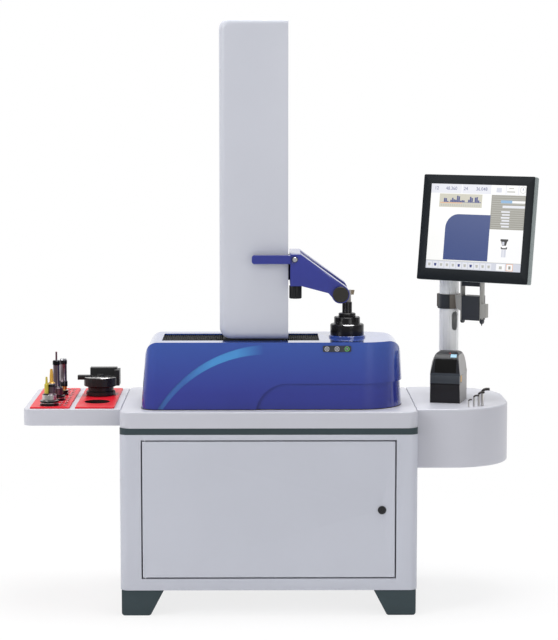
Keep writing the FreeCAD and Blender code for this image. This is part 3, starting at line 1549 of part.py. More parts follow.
save("monitor_arm", monitor_arm())
save("arm_box", arm_box())
save("monitor_housing", monitor_housing())
save("monitor_screen", monitor_screen())
save("printer_base", printer_base())
save("printer_lid", printer_lid())
save("printer_latches", printer_latches())
for number in range(len(key_flats)):
    save("hex_key_" + str(number + 1), hex_key(number))
save("chamfer_tool", chamfer_tool())
save("drill_tool", drill_tool())
save("bore_tool", bore_tool())
save("turret_holder", turret_holder())
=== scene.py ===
import math

import bmesh
import bpy
from mathutils import Matrix, Vector
from mathutils.bvhtree import BVHTree


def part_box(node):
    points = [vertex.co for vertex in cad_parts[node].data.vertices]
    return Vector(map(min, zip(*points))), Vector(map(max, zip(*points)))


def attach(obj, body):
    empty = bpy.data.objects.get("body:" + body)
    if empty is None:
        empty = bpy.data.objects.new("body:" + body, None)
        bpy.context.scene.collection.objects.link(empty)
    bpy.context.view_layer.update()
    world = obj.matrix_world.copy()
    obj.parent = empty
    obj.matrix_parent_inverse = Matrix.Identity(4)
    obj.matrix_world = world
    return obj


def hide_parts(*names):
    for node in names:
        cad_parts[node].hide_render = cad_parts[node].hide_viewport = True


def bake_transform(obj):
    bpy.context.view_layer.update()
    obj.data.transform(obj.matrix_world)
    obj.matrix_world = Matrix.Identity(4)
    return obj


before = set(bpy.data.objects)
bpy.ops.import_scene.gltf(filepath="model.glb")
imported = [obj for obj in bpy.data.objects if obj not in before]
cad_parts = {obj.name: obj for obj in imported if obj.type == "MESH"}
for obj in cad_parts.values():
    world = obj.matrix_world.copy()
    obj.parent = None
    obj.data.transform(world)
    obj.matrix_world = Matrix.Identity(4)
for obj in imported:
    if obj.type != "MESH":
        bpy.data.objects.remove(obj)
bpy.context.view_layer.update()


# The camera stands in front of the machine at eye height and looks slightly down.
# It is a long lens, as for a product picture.
scene = bpy.context.scene
scene.view_settings.view_transform = "Standard"
camera_data = bpy.data.cameras.new("front_camera")
camera_data.lens = 118.1
camera_data.sensor_width = 36.0
camera_data.clip_end = 60.0
camera = bpy.data.objects.new("front_camera", camera_data)
camera.location = (-0.0600, -6.65805, 1.6058)
camera.rotation_euler = (math.radians(83.884), 0.0, math.radians(-0.461))
scene.collection.objects.link(camera)
scene.camera = camera


# The room is a white studio with a wide pale floor. Behind the photographer it is dimmer, which keeps the
# fronts of dark and glossy pieces deep in colour. The camera sees floor and backdrop as white.
room_dim = 0.35
floor_half = 9.0
floor_drop = 0.0005
floor_near_white = 0.80
floor_white_from = 0.9
floor_white_to = 2.2


def feed(tree, given, socket):
    """Sets a socket to a number or colour, or joins it to a node's output."""
    if isinstance(given, bpy.types.NodeSocket):
        tree.links.new(given, socket)
    else:
        socket.default_value = given


def node(tree, kind, **inputs):
    """A shader node with its inputs given by name."""
    new_node = tree.nodes.new(kind)
    for name, given in inputs.items():
        feed(tree, given, new_node.inputs[name.replace("_", " ")])
    return new_node


def calc(tree, operation, first, second=0.0):
    step = tree.nodes.new("ShaderNodeMath")
    step.operation = operation
    feed(tree, first, step.inputs[0])
    feed(tree, second, step.inputs[1])
    return step.outputs[0]


def ranged(tree, value, low, high, start=0.0, stop=1.0):
    """A number that runs from low to high while value runs from start to stop."""
    span = node(tree, "ShaderNodeMapRange", Value=value, From_Min=start, From_Max=stop,
                To_Min=low, To_Max=high)
    return span.outputs["Result"]


def on_piece(tree):
    """The place of a point on the piece."""
    return tree.nodes.new("ShaderNodeTexCoord").outputs["Object"]


def object_axes(tree):
    """The three coordinates of a point on the piece, as separate outputs."""
    return node(tree, "ShaderNodeSeparateXYZ", Vector=on_piece(tree)).outputs


def away_from(tree, point, counted=(1.0, 1.0, 1.0)):
    """Distance from a point, along the axes that are counted."""
    shift = node(tree, "ShaderNodeMapping", Vector=on_piece(tree), Location=tuple(-p for p in point))
    level = tree.nodes.new("ShaderNodeVectorMath")
    level.operation = "MULTIPLY"
    tree.links.new(shift.outputs["Vector"], level.inputs[0])
    level.inputs[1].default_value = counted
    length = tree.nodes.new("ShaderNodeVectorMath")
    length.operation = "LENGTH"
    tree.links.new(level.outputs["Vector"], length.inputs[0])
    return length.outputs["Value"]


def studio_world():
    world = bpy.data.worlds.new("studio_world")
    world.use_nodes = True
    tree = world.node_tree
    background = tree.nodes["Background"]
    path = tree.nodes.new("ShaderNodeLightPath")
    seen = calc(tree, "MAXIMUM", path.outputs["Is Camera Ray"], path.outputs["Is Transmission Ray"])
    shine = ranged(tree, object_axes(tree)["Y"], room_dim, 1.0, -0.1, 0.6)
    lit = ranged(tree, path.outputs["Is Glossy Ray"], 0.55, shine)
    background.inputs["Color"].default_value = (1.0, 1.0, 1.0, 1.0)
    feed(tree, ranged(tree, seen, lit, 1.0), background.inputs["Strength"])
    scene.world = world


def studio_floor():
    bm = bmesh.new()
    bmesh.ops.create_grid(bm, x_segments=1, y_segments=1, size=floor_half)
    bmesh.ops.translate(bm, verts=bm.verts, vec=(0.0, 0.0, -floor_drop))
    mesh = bpy.data.meshes.new("studio_floor")
    bm.to_mesh(mesh)
    bm.free()
    floor = bpy.data.objects.new("studio_floor", mesh)
    scene.collection.objects.link(floor)
    mat = bpy.data.materials.new("studio_white")
    mat.use_nodes = True
    tree = mat.node_tree
    shader = tree.nodes["Principled BSDF"]
    shader.inputs["Base Color"].default_value = (0.90, 0.90, 0.905, 1.0)
    shader.inputs["Roughness"].default_value = 0.9
    path = tree.nodes.new("ShaderNodeLightPath")
    seen = calc(tree, "MAXIMUM", path.outputs["Is Camera Ray"], path.outputs["Is Transmission Ray"])
    seen = calc(tree, "MAXIMUM", seen, path.outputs["Is Glossy Ray"])
    reach = away_from(tree, (0.0, 0.0, 0.0))
    spread = ranged(tree, reach, floor_near_white, 1.0, floor_white_from, floor_white_to)
    shine = ranged(tree, object_axes(tree)["Y"], room_dim, 1.0, -2.2, -0.6)
    glow = ranged(tree, path.outputs["Is Glossy Ray"], 1.0, shine)
    light = node(tree, "ShaderNodeEmission", Color=(1.0, 1.0, 1.0, 1.0), Strength=glow)
    mix = tree.nodes.new("ShaderNodeMixShader")
    feed(tree, calc(tree, "MULTIPLY", seen, spread), mix.inputs["Fac"])
    tree.links.new(shader.outputs["BSDF"], mix.inputs[1])
    tree.links.new(light.outputs["Emission"], mix.inputs[2])
    tree.links.new(mix.outputs["Shader"], tree.nodes["Material Output"].inputs["Surface"])
    mesh.materials.append(mat)


def soft_lamp(name, place, aim, size, power, mirrored=True, lights=True):
    """A soft box. mirrored says whether glossy pieces show it, lights whether it lights matt surfaces."""
    data = bpy.data.lights.new(name, "AREA")
    data.shape = "RECTANGLE"
    data.size = size[0]
    data.size_y = size[1]
    data.energy = power
    lamp = bpy.data.objects.new(name, data)
    lamp.location = place
    lamp.rotation_euler = (Vector(aim) - Vector(place)).to_track_quat("-Z", "Y").to_euler()
    lamp.visible_camera = False
    lamp.visible_glossy = mirrored
    lamp.visible_diffuse = lights
    scene.collection.objects.link(lamp)


studio_world()
studio_floor()
soft_lamp("key_lamp", (-4.2, -3.1, 3.4), (0.0, 0.0, 0.9), (2.2, 2.2), 112.0)
soft_lamp("fill_lamp", (4.6, -2.4, 2.2), (0.1, 0.0, 0.9), (2.4, 2.4), 24.0, mirrored=False)
soft_lamp("top_lamp", (0.2, 0.2, 4.2), (0.0, 0.0, 0.8), (2.6, 1.8), 118.0)
soft_lamp("strip_lamp", (2.8, -4.9, 1.95), (0.27, -0.22, 0.8), (2.0, 1.3), 34.0, lights=False)


# The cabinet is a welded sheet-steel carcass with a front frame, powder coated in a cool light grey.
# The coat has a fine orange-peel grain and rounds the folded edges.
sheet_grey = (0.500, 0.516, 0.580)
powder_grain = 900.0
edge_radius = 0.0015


def plain_material(name, roughness=0.5, metallic=0.0, specular=0.5):
    mat = bpy.data.materials.new(name)
    mat.use_nodes = True
    shader = mat.node_tree.nodes["Principled BSDF"]
    shader.inputs["Roughness"].default_value = roughness
    shader.inputs["Metallic"].default_value = metallic
    shader.inputs["Specular IOR Level"].default_value = specular
    return mat, mat.node_tree, shader


def two_tones(tree, value, colour, change):
    """The colour, a little darker where value is low and a little lighter where it is high."""
    ramp = tree.nodes.new("ShaderNodeValToRGB")
    ramp.color_ramp.elements[0].position = 0.3
    ramp.color_ramp.elements[1].position = 0.7
    ramp.color_ramp.elements[0].color = tuple(c * (1.0 - change) for c in colour) + (1.0,)
    ramp.color_ramp.elements[1].color = tuple(min(1.0, c * (1.0 + change)) for c in colour) + (1.0,)
    tree.links.new(value, ramp.inputs["Fac"])
    return ramp.outputs["Color"]


def coated(name, colour, roughness=0.42, grain=700.0, depth=0.05, cloud=0.05, coat=0.0, specular=0.5):
    """Painted or moulded surface: slight cloudiness in colour and gloss, and a fine skin grain."""
    mat, tree, shader = plain_material(name, roughness, 0.0, specular)
    place = on_piece(tree)
    clouds = node(tree, "ShaderNodeTexNoise", Vector=place, Scale=2.3, Detail=3.0)
    tree.links.new(two_tones(tree, clouds.outputs["Fac"], colour, cloud), shader.inputs["Base Color"])
    gloss = node(tree, "ShaderNodeTexNoise", Vector=place, Scale=14.0, Detail=4.0)
    varied = ranged(tree, gloss.outputs["Fac"], roughness * 0.88, roughness * 1.12)
    feed(tree, varied, shader.inputs["Roughness"])
    skin = node(tree, "ShaderNodeTexNoise", Vector=place, Scale=grain, Detail=2.0)
    bump = node(tree, "ShaderNodeBump", Strength=depth, Distance=0.0004, Height=skin.outputs["Fac"])
    tree.links.new(bump.outputs["Normal"], shader.inputs["Normal"])
    if coat:
        shader.inputs["Coat Weight"].default_value = coat
        shader.inputs["Coat Roughness"].default_value = 0.04
    return mat


def dress(name, *materials, smooth=32.0, bevel=0.0, segments=2, pick=None):
    """A kept CAD piece gets its materials, shading that is smooth over its curves, and small edge radii.

    pick gives the number of the material from a face's centre and normal.
    """
    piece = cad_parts[name]
    piece.data.materials.clear()
    for material in materials:
        piece.data.materials.append(material)
    for face in piece.data.polygons:
        face.use_smooth = True
        face.material_index = pick(face.center, face.normal) if pick else 0
    weld = piece.modifiers.new("weld", "WELD")
    weld.merge_threshold = 0.00001
    if bevel:
        radius = piece.modifiers.new("edge_radius", "BEVEL")
        radius.width = bevel
        radius.segments = segments
        radius.limit_method = "ANGLE"
        radius.angle_limit = math.radians(smooth + 8.0)
        radius.use_clamp_overlap = True
    split = piece.modifiers.new("sharp_edges", "EDGE_SPLIT")
    split.split_angle = math.radians(smooth)
    split.use_edge_sharp = False


powder_coat = coated("powder_coat_grey", sheet_grey, 0.45, powder_grain, 0.06, 0.025)
dress("cabinet_body", powder_coat, bevel=edge_radius)


# Four broad feet of folded steel carry the cabinet, painted dark slate.
# The same slate shows in the thin board between carcass and worktop.
slate_colour = (0.034, 0.053, 0.061)
slate = coated("slate_paint", slate_colour, 0.5, 700.0, 0.08, 0.06, specular=0.3)
dress("cabinet_feet", slate, bevel=edge_radius)
dress("trim_band", slate, bevel=0.001)


# The door is a folded steel pan that fills the front. It hangs on two pins at the left.
# A black cam lock with a key slot sits at its right side.
door_grey = (0.508, 0.524, 0.588)
door_coat = coated("powder_coat_door", door_grey, 0.43, powder_grain, 0.06, 0.02)
lock_black = coated("lock_black", (0.010, 0.010, 0.012), 0.35, 400.0, 0.03, 0.1)
dress("door_panel", door_coat, bevel=0.0008)
dress("door_lock", lock_black, bevel=0.0004)


# The hinge pins are plain ground steel.
# Turned and ground steel has fine rings where the tool ran round.
pin_steel = (0.62, 0.62, 0.64)
lathe_pitch = 1400.0


def turned_metal(name, colour, centre=(0.0, 0.0), roughness=0.28, pitch=lathe_pitch, metallic=1.0,
                 specular=0.5):
    """Metal with fine lathe rings about an upright axis at centre."""
    mat, tree, shader = plain_material(name, roughness, metallic, specular)
    radius = away_from(tree, (centre[0], centre[1], 0.0), (1.0, 1.0, 0.0))
    ring_place = node(tree, "ShaderNodeCombineXYZ", X=radius, Y=object_axes(tree)["Z"])
    rings = node(tree, "ShaderNodeTexNoise", Vector=ring_place.outputs["Vector"], Scale=pitch, Detail=2.0)
    bump = node(tree, "ShaderNodeBump", Strength=0.12, Distance=0.0002, Height=rings.outputs["Fac"])
    tree.links.new(bump.outputs["Normal"], shader.inputs["Normal"])
    tree.links.new(two_tones(tree, rings.outputs["Fac"], colour, 0.12), shader.inputs["Base Color"])
    return mat


ground_steel = turned_metal("ground_steel", pin_steel, roughness=0.3)
dress("door_hinge_pins", ground_steel)


# The worktop, the side tray and the side console are pale laminate mouldings with soft edges.
# A very fine speckle keeps them from looking like paper.
laminate_pale = (0.525, 0.53, 0.585)
pale_top = coated("pale_laminate", laminate_pale, 0.36, 1200.0, 0.03, 0.02)
dress("worktop", pale_top)
dress("side_tray", pale_top, bevel=0.0008)
dress("side_console", pale_top)


# Two red racks drop into the tray. They are cast in glossy red plastic.
# The rows of small holes hold drills. Round each hole lies a raised ring, painted dark inside as painted
# shade of the hole and pale on its rim as a painted highlight.
rack_colour = (0.66, 0.008, 0.022)
rack_red = coated("rack_red", rack_colour, 0.38, 500.0, 0.04, 0.06, specular=0.28)
rack_low, rack_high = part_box("shank_rack")
rack_level = rack_high[2]
hole_rows = 11
hole_columns = 3
hole_step_x = 0.015
hole_step_y = 0.036
hole_from_right = 0.017
hole_from_front = 0.035
socket_reach = 0.02325
shade_ring_inside = 0.0029
rim_inside = 0.0044
rim_outside = 0.0054
rim_height = 0.0009
rim_slope = 0.0002
shade_ring_height = 0.0005
chamfer_place = (rack_low[0] + 0.058, rack_low[1] + 0.040)
drill_place = (rack_low[0] + 0.070, rack_low[1] + 0.151)
bore_place = (rack_low[0] + 0.081, rack_low[1] + 0.267)


def add_turned(bm, section, centre, axis=(0.0, 0.0, 1.0), steps=32):
    """Spins a section of (radius, height) points about an axis through centre."""
    axis = Vector(axis).normalized()
    out = axis.orthogonal().normalized()
    points = [bm.verts.new(Vector(centre) + out * radius + axis * height) for radius, height in section]
    edges = [bm.edges.new(pair) for pair in zip(points, points[1:])]
    bmesh.ops.spin(bm, geom=points + edges, cent=centre, axis=axis, angle=math.tau, steps=steps,
                   use_merge=True)


def finished(name, bm, materials, body="", smooth=30.0, solid=True):
    """A bmesh becomes a piece at the origin, takes the given materials and rides on a body."""
    if solid:
        bmesh.ops.remove_doubles(bm, verts=bm.verts, dist=0.000001)
        bmesh.ops.recalc_face_normals(bm, faces=bm.faces)
    mesh = bpy.data.meshes.new(name)
    bm.to_mesh(mesh)
    bm.free()
    for material in materials:
        mesh.materials.append(material)
    for face in mesh.polygons:
        face.use_smooth = True
    mesh.set_sharp_from_angle(angle=math.radians(smooth))
    piece = bpy.data.objects.new(name, mesh)
    scene.collection.objects.link(piece)
    if body:
        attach(piece, body)
    return piece


def drill_hole_rims():
    bm = bmesh.new()
    section = [(shade_ring_inside, 0.0), (rim_outside, 0.0), (rim_outside - rim_slope, rim_height),
               (rim_inside, rim_height), (rim_inside - rim_slope, shade_ring_height),
               (shade_ring_inside, shade_ring_height), (shade_ring_inside, 0.0)]
    sockets = (chamfer_place, drill_place, bore_place)
    for row in range(hole_rows):
        for column in range(hole_columns):
            x = rack_high[0] - hole_from_right - column * hole_step_x
            y = rack_low[1] + hole_from_front + row * hole_step_y
            if all(math.hypot(x - sx, y - sy) > socket_reach for sx, sy in sockets):
                add_turned(bm, section, (x, y, rack_level), steps=14)
    # Painted shade and highlight: the low inner part of each ring is dark, the raised rim pale.
    for face in bm.faces:
        face.material_index = int(face.calc_center_median().z > rack_level + shade_ring_height + 0.0001)
    rim_highlight_pale = coated("rim_highlight_pale", (0.86, 0.78, 0.80), 0.3, 300.0, 0.02, 0.1)
    hole_shade = coated("hole_shade_plum", (0.030, 0.008, 0.012), 0.5, 300.0, 0.05, 0.1, specular=0.3)
    finished("drill_hole_rims", bm, [hole_shade, rim_highlight_pale], "stand")


dress("shank_rack", rack_red, bevel=0.0006)
dress("holder_rack", rack_red, bevel=0.0006)
drill_hole_rims()


# The front pocket of the holder rack is empty.
# A thin black lining from the rim to the floor is painted shade inside the empty pocket.
holder_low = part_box("holder_rack")[0]
pocket_place = (holder_low[0] + 0.061, holder_low[1] + 0.117)
turret_place = (pocket_place[0], pocket_place[1] + 0.152)
shade_lining_outside = 0.0399
shade_lining_inside = 0.0394
shade_lining_depth = 0.0338
shade_lining_floor = 0.0005
shade_lining_lip = 0.0004
painted_shade_black = coated("painted_shade_black", (0.028, 0.016, 0.015), 0.6, 500.0, 0.1, 0.1, specular=0.25)


def pocket_shade_lining():
    bm = bmesh.new()
    section = [(0.0, -shade_lining_depth), (shade_lining_outside, -shade_lining_depth), (shade_lining_outside, shade_lining_lip),
               (shade_lining_inside, shade_lining_lip), (shade_lining_inside, shade_lining_floor - shade_lining_depth),
               (0.0, shade_lining_floor - shade_lining_depth)]
    add_turned(bm, section, (pocket_place[0], pocket_place[1], rack_level), steps=48)
    finished("pocket_shade_lining", bm, [painted_shade_black], "stand")


pocket_shade_lining()


# The tools in the racks are turned steel holders, blackened or nickel plated, with brass and coated tips.
# Each is one piece in the source, so its finish changes with the height above the rack.
black_oxide = (0.040, 0.036, 0.040)
dark_plum = (0.16, 0.11, 0.13)
nickel = (0.60, 0.58, 0.57)
brass_gold = (0.80, 0.50, 0.10)
end_steel = (0.45, 0.45, 0.47)
coated_amber = (0.60, 0.33, 0.045)
coated_lime = (0.52, 0.43, 0.05)
band_low = 0.04
band_span = 0.2


def banded_metal(name, centre, bands, roughness=0.3):
    """Turned metal whose colour changes at given heights above the rack."""
    mat = turned_metal(name, (0.5, 0.5, 0.5), centre, roughness)
    tree = mat.node_tree
    lowest = rack_level - band_low
    height = ranged(tree, object_axes(tree)["Z"], 0.0, 1.0, lowest, lowest + band_span)
    ramp = tree.nodes.new("ShaderNodeValToRGB")
    ramp.color_ramp.interpolation = "CONSTANT"
    stops = ramp.color_ramp.elements
    while len(stops) < len(bands):
        stops.new(0.5)
    for stop, (level, colour) in zip(stops, bands):
        stop.position = (level + band_low) / band_span
        stop.color = tuple(colour) + (1.0,)
    tree.links.new(height, ramp.inputs["Fac"])
    rings = [n for n in tree.nodes if n.type == "TEX_NOISE"][0]
    shade = node(tree, "ShaderNodeVectorMath")
    shade.operation = "SCALE"
    tree.links.new(ramp.outputs["Color"], shade.inputs[0])
    tree.links.new(ranged(tree, rings.outputs["Fac"], 0.8, 1.15), shade.inputs["Scale"])
    tree.links.new(shade.outputs["Vector"], tree.nodes["Principled BSDF"].inputs["Base Color"])
    return mat


chamfer_finish = banded_metal("chamfer_tool_finish", chamfer_place, [
    (-0.04, nickel), (0.0, black_oxide), (0.007, nickel), (0.010, black_oxide), (0.0155, (0.30, 0.29, 0.29)),
    (0.020, nickel), (0.034, black_oxide), (0.037, dark_plum), (0.058, black_oxide), (0.066, nickel)])
amber_tip = turned_metal("amber_tip", coated_amber, chamfer_place, 0.4, metallic=0.2)
lime_tip = turned_metal("lime_tip", coated_lime, chamfer_place, 0.4, metallic=0.2)
amber_level = rack_level + 0.070
lime_level = rack_level + 0.0385


def cutter_pick(centre, normal):
    if centre.x > chamfer_place[0] - 0.002:
        return int(centre.z > amber_level)
    return 2 if centre.z > lime_level else 0


dress("chamfer_tool", chamfer_finish, amber_tip, lime_tip, pick=cutter_pick)
dress("drill_tool", banded_metal("drill_tool_finish", drill_place, [
    (-0.04, nickel), (0.0, black_oxide), (0.007, nickel), (0.010, black_oxide), (0.018, dark_plum),
    (0.040, black_oxide), (0.046, (0.20, 0.15, 0.18)), (0.112, (0.02, 0.02, 0.022)), (0.1275, end_steel),
    (0.1282, (0.2, 0.1, 0.12))]))
dress("bore_tool", banded_metal("bore_tool_finish", bore_place, [
    (-0.04, nickel), (0.0, black_oxide), (0.016, nickel), (0.0185, brass_gold), (0.0285, black_oxide),
    (0.045, (0.22, 0.18, 0.20)), (0.100, black_oxide), (0.1135, end_steel)]))


# The turret holder is a blackened drum with a ground top disc. Cap screws hold the disc.
# A milled ring with flats all round sits on the drum as a wide head over a narrow waist and a broad foot.
turret_black = coated("turret_black", (0.014, 0.014, 0.015), 0.38, 400.0, 0.06, 0.1, specular=0.35)
turret_face = turned_metal("turret_face", (0.66, 0.65, 0.64), turret_place, 0.22, 700.0)
turret_top = rack_level + 0.060
turret_hub = 0.0115
cap_circle = 0.0275
cap_angles = (195.0, 240.0, 300.0, 345.0)
cap_radius = 0.0035
cap_height = 0.0026
ring_flats = 20
ring_bore = 0.0395
ring_waist = 0.0412
ring_foot = 0.0470
ring_head = 0.0538


def turret_pick(centre, normal):
    from_axis = math.hypot(centre.x - turret_place[0], centre.y - turret_place[1])
    on_top = abs(centre.z - turret_top) < 0.0016 and normal.z > 0.3
    return 1 if on_top and turret_hub < from_axis < 0.049 else 0


def turret_cap_screws():
    bm = bmesh.new()
    section = [(0.0, 0.0), (cap_radius, 0.0), (cap_radius, cap_height * 0.85), (cap_radius * 0.9, cap_height),
               (cap_radius * 0.55, cap_height), (cap_radius * 0.5, cap_height * 0.4), (0.0, cap_height * 0.4)]
    for angle in cap_angles:
        turn = math.radians(angle)
        across, along = cap_circle * math.cos(turn), cap_circle * math.sin(turn)
        centre = (turret_place[0] + across, turret_place[1] + along, turret_top)
        add_turned(bm, section, centre, steps=18)
    finished("turret_cap_screws", bm, [lock_black], "rack_turret_holder")


def turret_ring():
    bm = bmesh.new()
    top = turret_top - rack_level + 0.0002
    section = [(ring_bore, 0.0012), (0.0462, 0.0012), (ring_foot, 0.0020), (ring_foot, 0.0130),
               (ring_waist, 0.0160), (ring_waist, 0.0270), (0.0528, 0.0310), (ring_head, 0.0320),
               (ring_head, top - 0.001), (0.0528, top), (0.0470, top), (0.0470, 0.0500),
               (ring_bore, 0.0360), (ring_bore, 0.0012)]
    add_turned(bm, section, (turret_place[0], turret_place[1], rack_level), steps=ring_flats)
    for face in bm.faces:
        face.material_index = int(face.calc_center_median().z > turret_top - 0.0006)
    finished("turret_ring", bm, [turret_black, turret_face], "rack_turret_holder",
             smooth=14.0)


dress("turret_holder", turret_black, turret_face, bevel=0.0005, pick=turret_pick)
turret_cap_screws()
turret_ring()


# Four bent hexagon keys stand in the console.
# They are hardened steel, with bright long legs and blackened short legs.
key_flats = (0.004, 0.005, 0.006, 0.008)
key_bright = turned_metal("key_bright", (0.66, 0.64, 0.62), roughness=0.35)
key_black = turned_metal("key_black", (0.07, 0.065, 0.065), roughness=0.35)
for number, flats in enumerate(key_flats, start=1):
    key_name = "hex_key_%d" % number
    bend_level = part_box(key_name)[1][2] - 1.5 * flats
    dress(key_name, key_bright, key_black,
          pick=lambda centre, normal, level=bend_level: int(centre.z > level))


# The base cover is one glossy blue moulding with a sloping front, rounded ends and a stepped skirt.
# Its blue is painted lighter towards the top as a painted reflection, and a lighter crescent is painted on
# its front at the left as the painted reflection of a crease in the moulding.
cover_low_blue = (0.0265, 0.0375, 0.268)
cover_sheen_blue = (0.033, 0.079, 0.345)
crescent_sheen_blue = (0.060, 0.265, 0.60)
cover_base, cover_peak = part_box("base_cover")
crescent_outer = (-0.0301, 0.425, 0.414)
crescent_inner = (-0.0471, 0.421, 0.388)
crescent_edge = 0.0012
crescent_front = -0.19


def painted_over(mat, colour, mask):
    """Lays a second colour over a material where mask is 1."""
    tree = mat.node_tree
    base = tree.nodes["Principled BSDF"].inputs["Base Color"]
    mix = tree.nodes.new("ShaderNodeMix")
    mix.data_type = "RGBA"
    tree.links.new(base.links[0].from_socket, mix.inputs[6])
    mix.inputs[7].default_value = tuple(colour) + (1.0,)
    tree.links.new(mask(tree), mix.inputs[0])
    tree.links.new(mix.outputs[2], base)


def inside_disc(tree, disc):
    """1 inside a disc in the front view, given as x, z and radius, and 0 outside it."""
    reach = away_from(tree, (disc[0], 0.0, disc[1]), (1.0, 0.0, 1.0))
    return ranged(tree, reach, 1.0, 0.0, disc[2] - crescent_edge, disc[2] + crescent_edge)


def crescent_sheen_mask(tree):
    x = object_axes(tree)["X"]
    hollow = calc(tree, "SUBTRACT", 1.0, inside_disc(tree, crescent_inner))
    shape = calc(tree, "MULTIPLY", inside_disc(tree, crescent_outer), hollow)
    rise = ranged(tree, x, 0.36, 1.0, -0.300, -0.215)
    fall = ranged(tree, x, 1.0, 0.0, -0.140, -0.055)
    front = ranged(tree, object_axes(tree)["Y"], 1.0, 0.0, crescent_front, crescent_front + 0.01)
    return calc(tree, "MULTIPLY", calc(tree, "MULTIPLY", shape, front), calc(tree, "MULTIPLY", rise, fall))


def upper_sheen_mask(tree):
    return ranged(tree, object_axes(tree)["Z"], 0.0, 1.0, cover_base[2] + 0.05, cover_peak[2] - 0.01)


cover_blue = coated("cover_blue_gloss", cover_low_blue, 0.24, 300.0, 0.012, 0.05, coat=1.0, specular=0.25)
# Painted reflection: the upper part of the cover is painted a lighter blue, and a crescent at the left of its
# front lighter still.
painted_over(cover_blue, cover_sheen_blue, upper_sheen_mask)
painted_over(cover_blue, crescent_sheen_blue, crescent_sheen_mask)
dress("base_cover", cover_blue, smooth=28.0)


# A thin black strip lies under the cover's foot all the way round, as painted shadow.
# From the front it is the dark shadow line between the blue cover and the pale worktop.
shadow_strip_height = 0.0022
shadow_strip_proud = 0.0010
shadow_strip_width = 0.0028
shadow_strip_left_corner = 0.050
shadow_strip_right_corner = 0.144
skirt_step = 0.0060
skirt_from = -0.0801
foot_right = cover_peak[0] + 0.0047


def shadow_strip_outline(grow):
    """Points round the cover's foot. The foot steps in where the skirt begins."""
    left, front = cover_base[0], cover_base[1]
    right, back = foot_right, cover_peak[1]
    turns = ((left + shadow_strip_left_corner, front + shadow_strip_left_corner, shadow_strip_left_corner, 180.0),
             (right - shadow_strip_right_corner, front + shadow_strip_right_corner, shadow_strip_right_corner - skirt_step, 270.0),
             (right - shadow_strip_right_corner, back - shadow_strip_right_corner, shadow_strip_right_corner - skirt_step, 0.0),
             (left + shadow_strip_left_corner, back - shadow_strip_left_corner, shadow_strip_left_corner, 90.0))
    steps = {0: ((skirt_from, front - grow), (skirt_from, front + skirt_step - grow)),
             2: ((skirt_from, back - skirt_step + grow), (skirt_from, back + grow))}
    points = []
    for number, (x, y, radius, start) in enumerate(turns):
        for step in range(17):
            turn = math.radians(start + step * 90.0 / 16.0)
            points.append((x + (radius + grow) * math.cos(turn), y + (radius + grow) * math.sin(turn)))
        points.extend(steps.get(number, ()))
    return points


def cover_shadow_strip():
    bm = bmesh.new()
    outside = shadow_strip_outline(shadow_strip_proud)
    inside = shadow_strip_outline(shadow_strip_proud - shadow_strip_width)
    rings = []
    for points, level in ((outside, 0.0), (outside, shadow_strip_height), (inside, shadow_strip_height), (inside, 0.0)):
        rings.append([bm.verts.new((x, y, cover_base[2] + level)) for x, y in points])
    for ring, after in zip(rings, rings[1:] + rings[:1]):
        for number in range(len(ring)):
            follow = (number + 1) % len(ring)
            bm.faces.new((ring[number], ring[follow], after[follow], after[number]))
    finished("cover_shadow_strip", bm, [painted_shade_black], "stand")


cover_shadow_strip()


# The bed is a ribbed iron casting, painted grey, with two ground rails.
# The tower's sliding foot is painted black as painted shade, so the gap under the tower looks dark.
cast_iron = coated("cast_iron_grey", (0.16, 0.165, 0.17), 0.6, 260.0, 0.3, 0.12)
dress("machine_bed", cast_iron, bevel=0.001)
foot_shade_black = coated("foot_shade_black", (0.012, 0.012, 0.014), 0.5, 260.0, 0.2, 0.1, specular=0.2)
dress("bed_rails", ground_steel)
dress("tower_foot", foot_shade_black, bevel=0.001)


# Three push buttons sit in a dark moulded strip under the cover's top edge.
# Each has a printed ring and a plain mark, and the right one's ring is green with a faint painted glow.
strip_dark = coated("strip_dark", (0.040, 0.045, 0.055), 0.4, 500.0, 0.04, 0.08, specular=0.3)
button_dark = coated("button_dark", (0.055, 0.06, 0.075), 0.4, 500.0, 0.03, 0.08)
mark_pale = coated("mark_pale", (0.80, 0.80, 0.86), 0.5, 500.0, 0.02, 0.05)
mark_green_glow = coated("mark_green_glow", (0.16, 0.62, 0.13), 0.5, 500.0, 0.02, 0.05)
mark_green_glow.node_tree.nodes["Principled BSDF"].inputs["Emission Color"].default_value = (0.16, 0.62, 0.13, 1.0)
mark_green_glow.node_tree.nodes["Principled BSDF"].inputs["Emission Strength"].default_value = 0.2
mark_ring = 0.0070
mark_line = 0.0012
mark_thickness = 0.0003
mark_edge = 0.0001


def add_box(bm, low, high):
    """A block between two corners."""
    low, high = Vector(low), Vector(high)
    made = bmesh.ops.create_cube(bm, size=1.0)["verts"]
    bmesh.ops.scale(bm, verts=made, vec=high - low)
    bmesh.ops.translate(bm, verts=made, vec=(low + high) / 2.0)
    return made


def add_soft_box(bm, low, high, radius, segments):
    """A block between two corners with small radii on its edges."""
    block = add_box(bm, low, high)
    edges = list({edge for vert in block for edge in vert.link_edges})
    bmesh.ops.bevel(bm, geom=edges, offset=radius, segments=segments, profile=0.5, affect="EDGES",
                    material=-1)


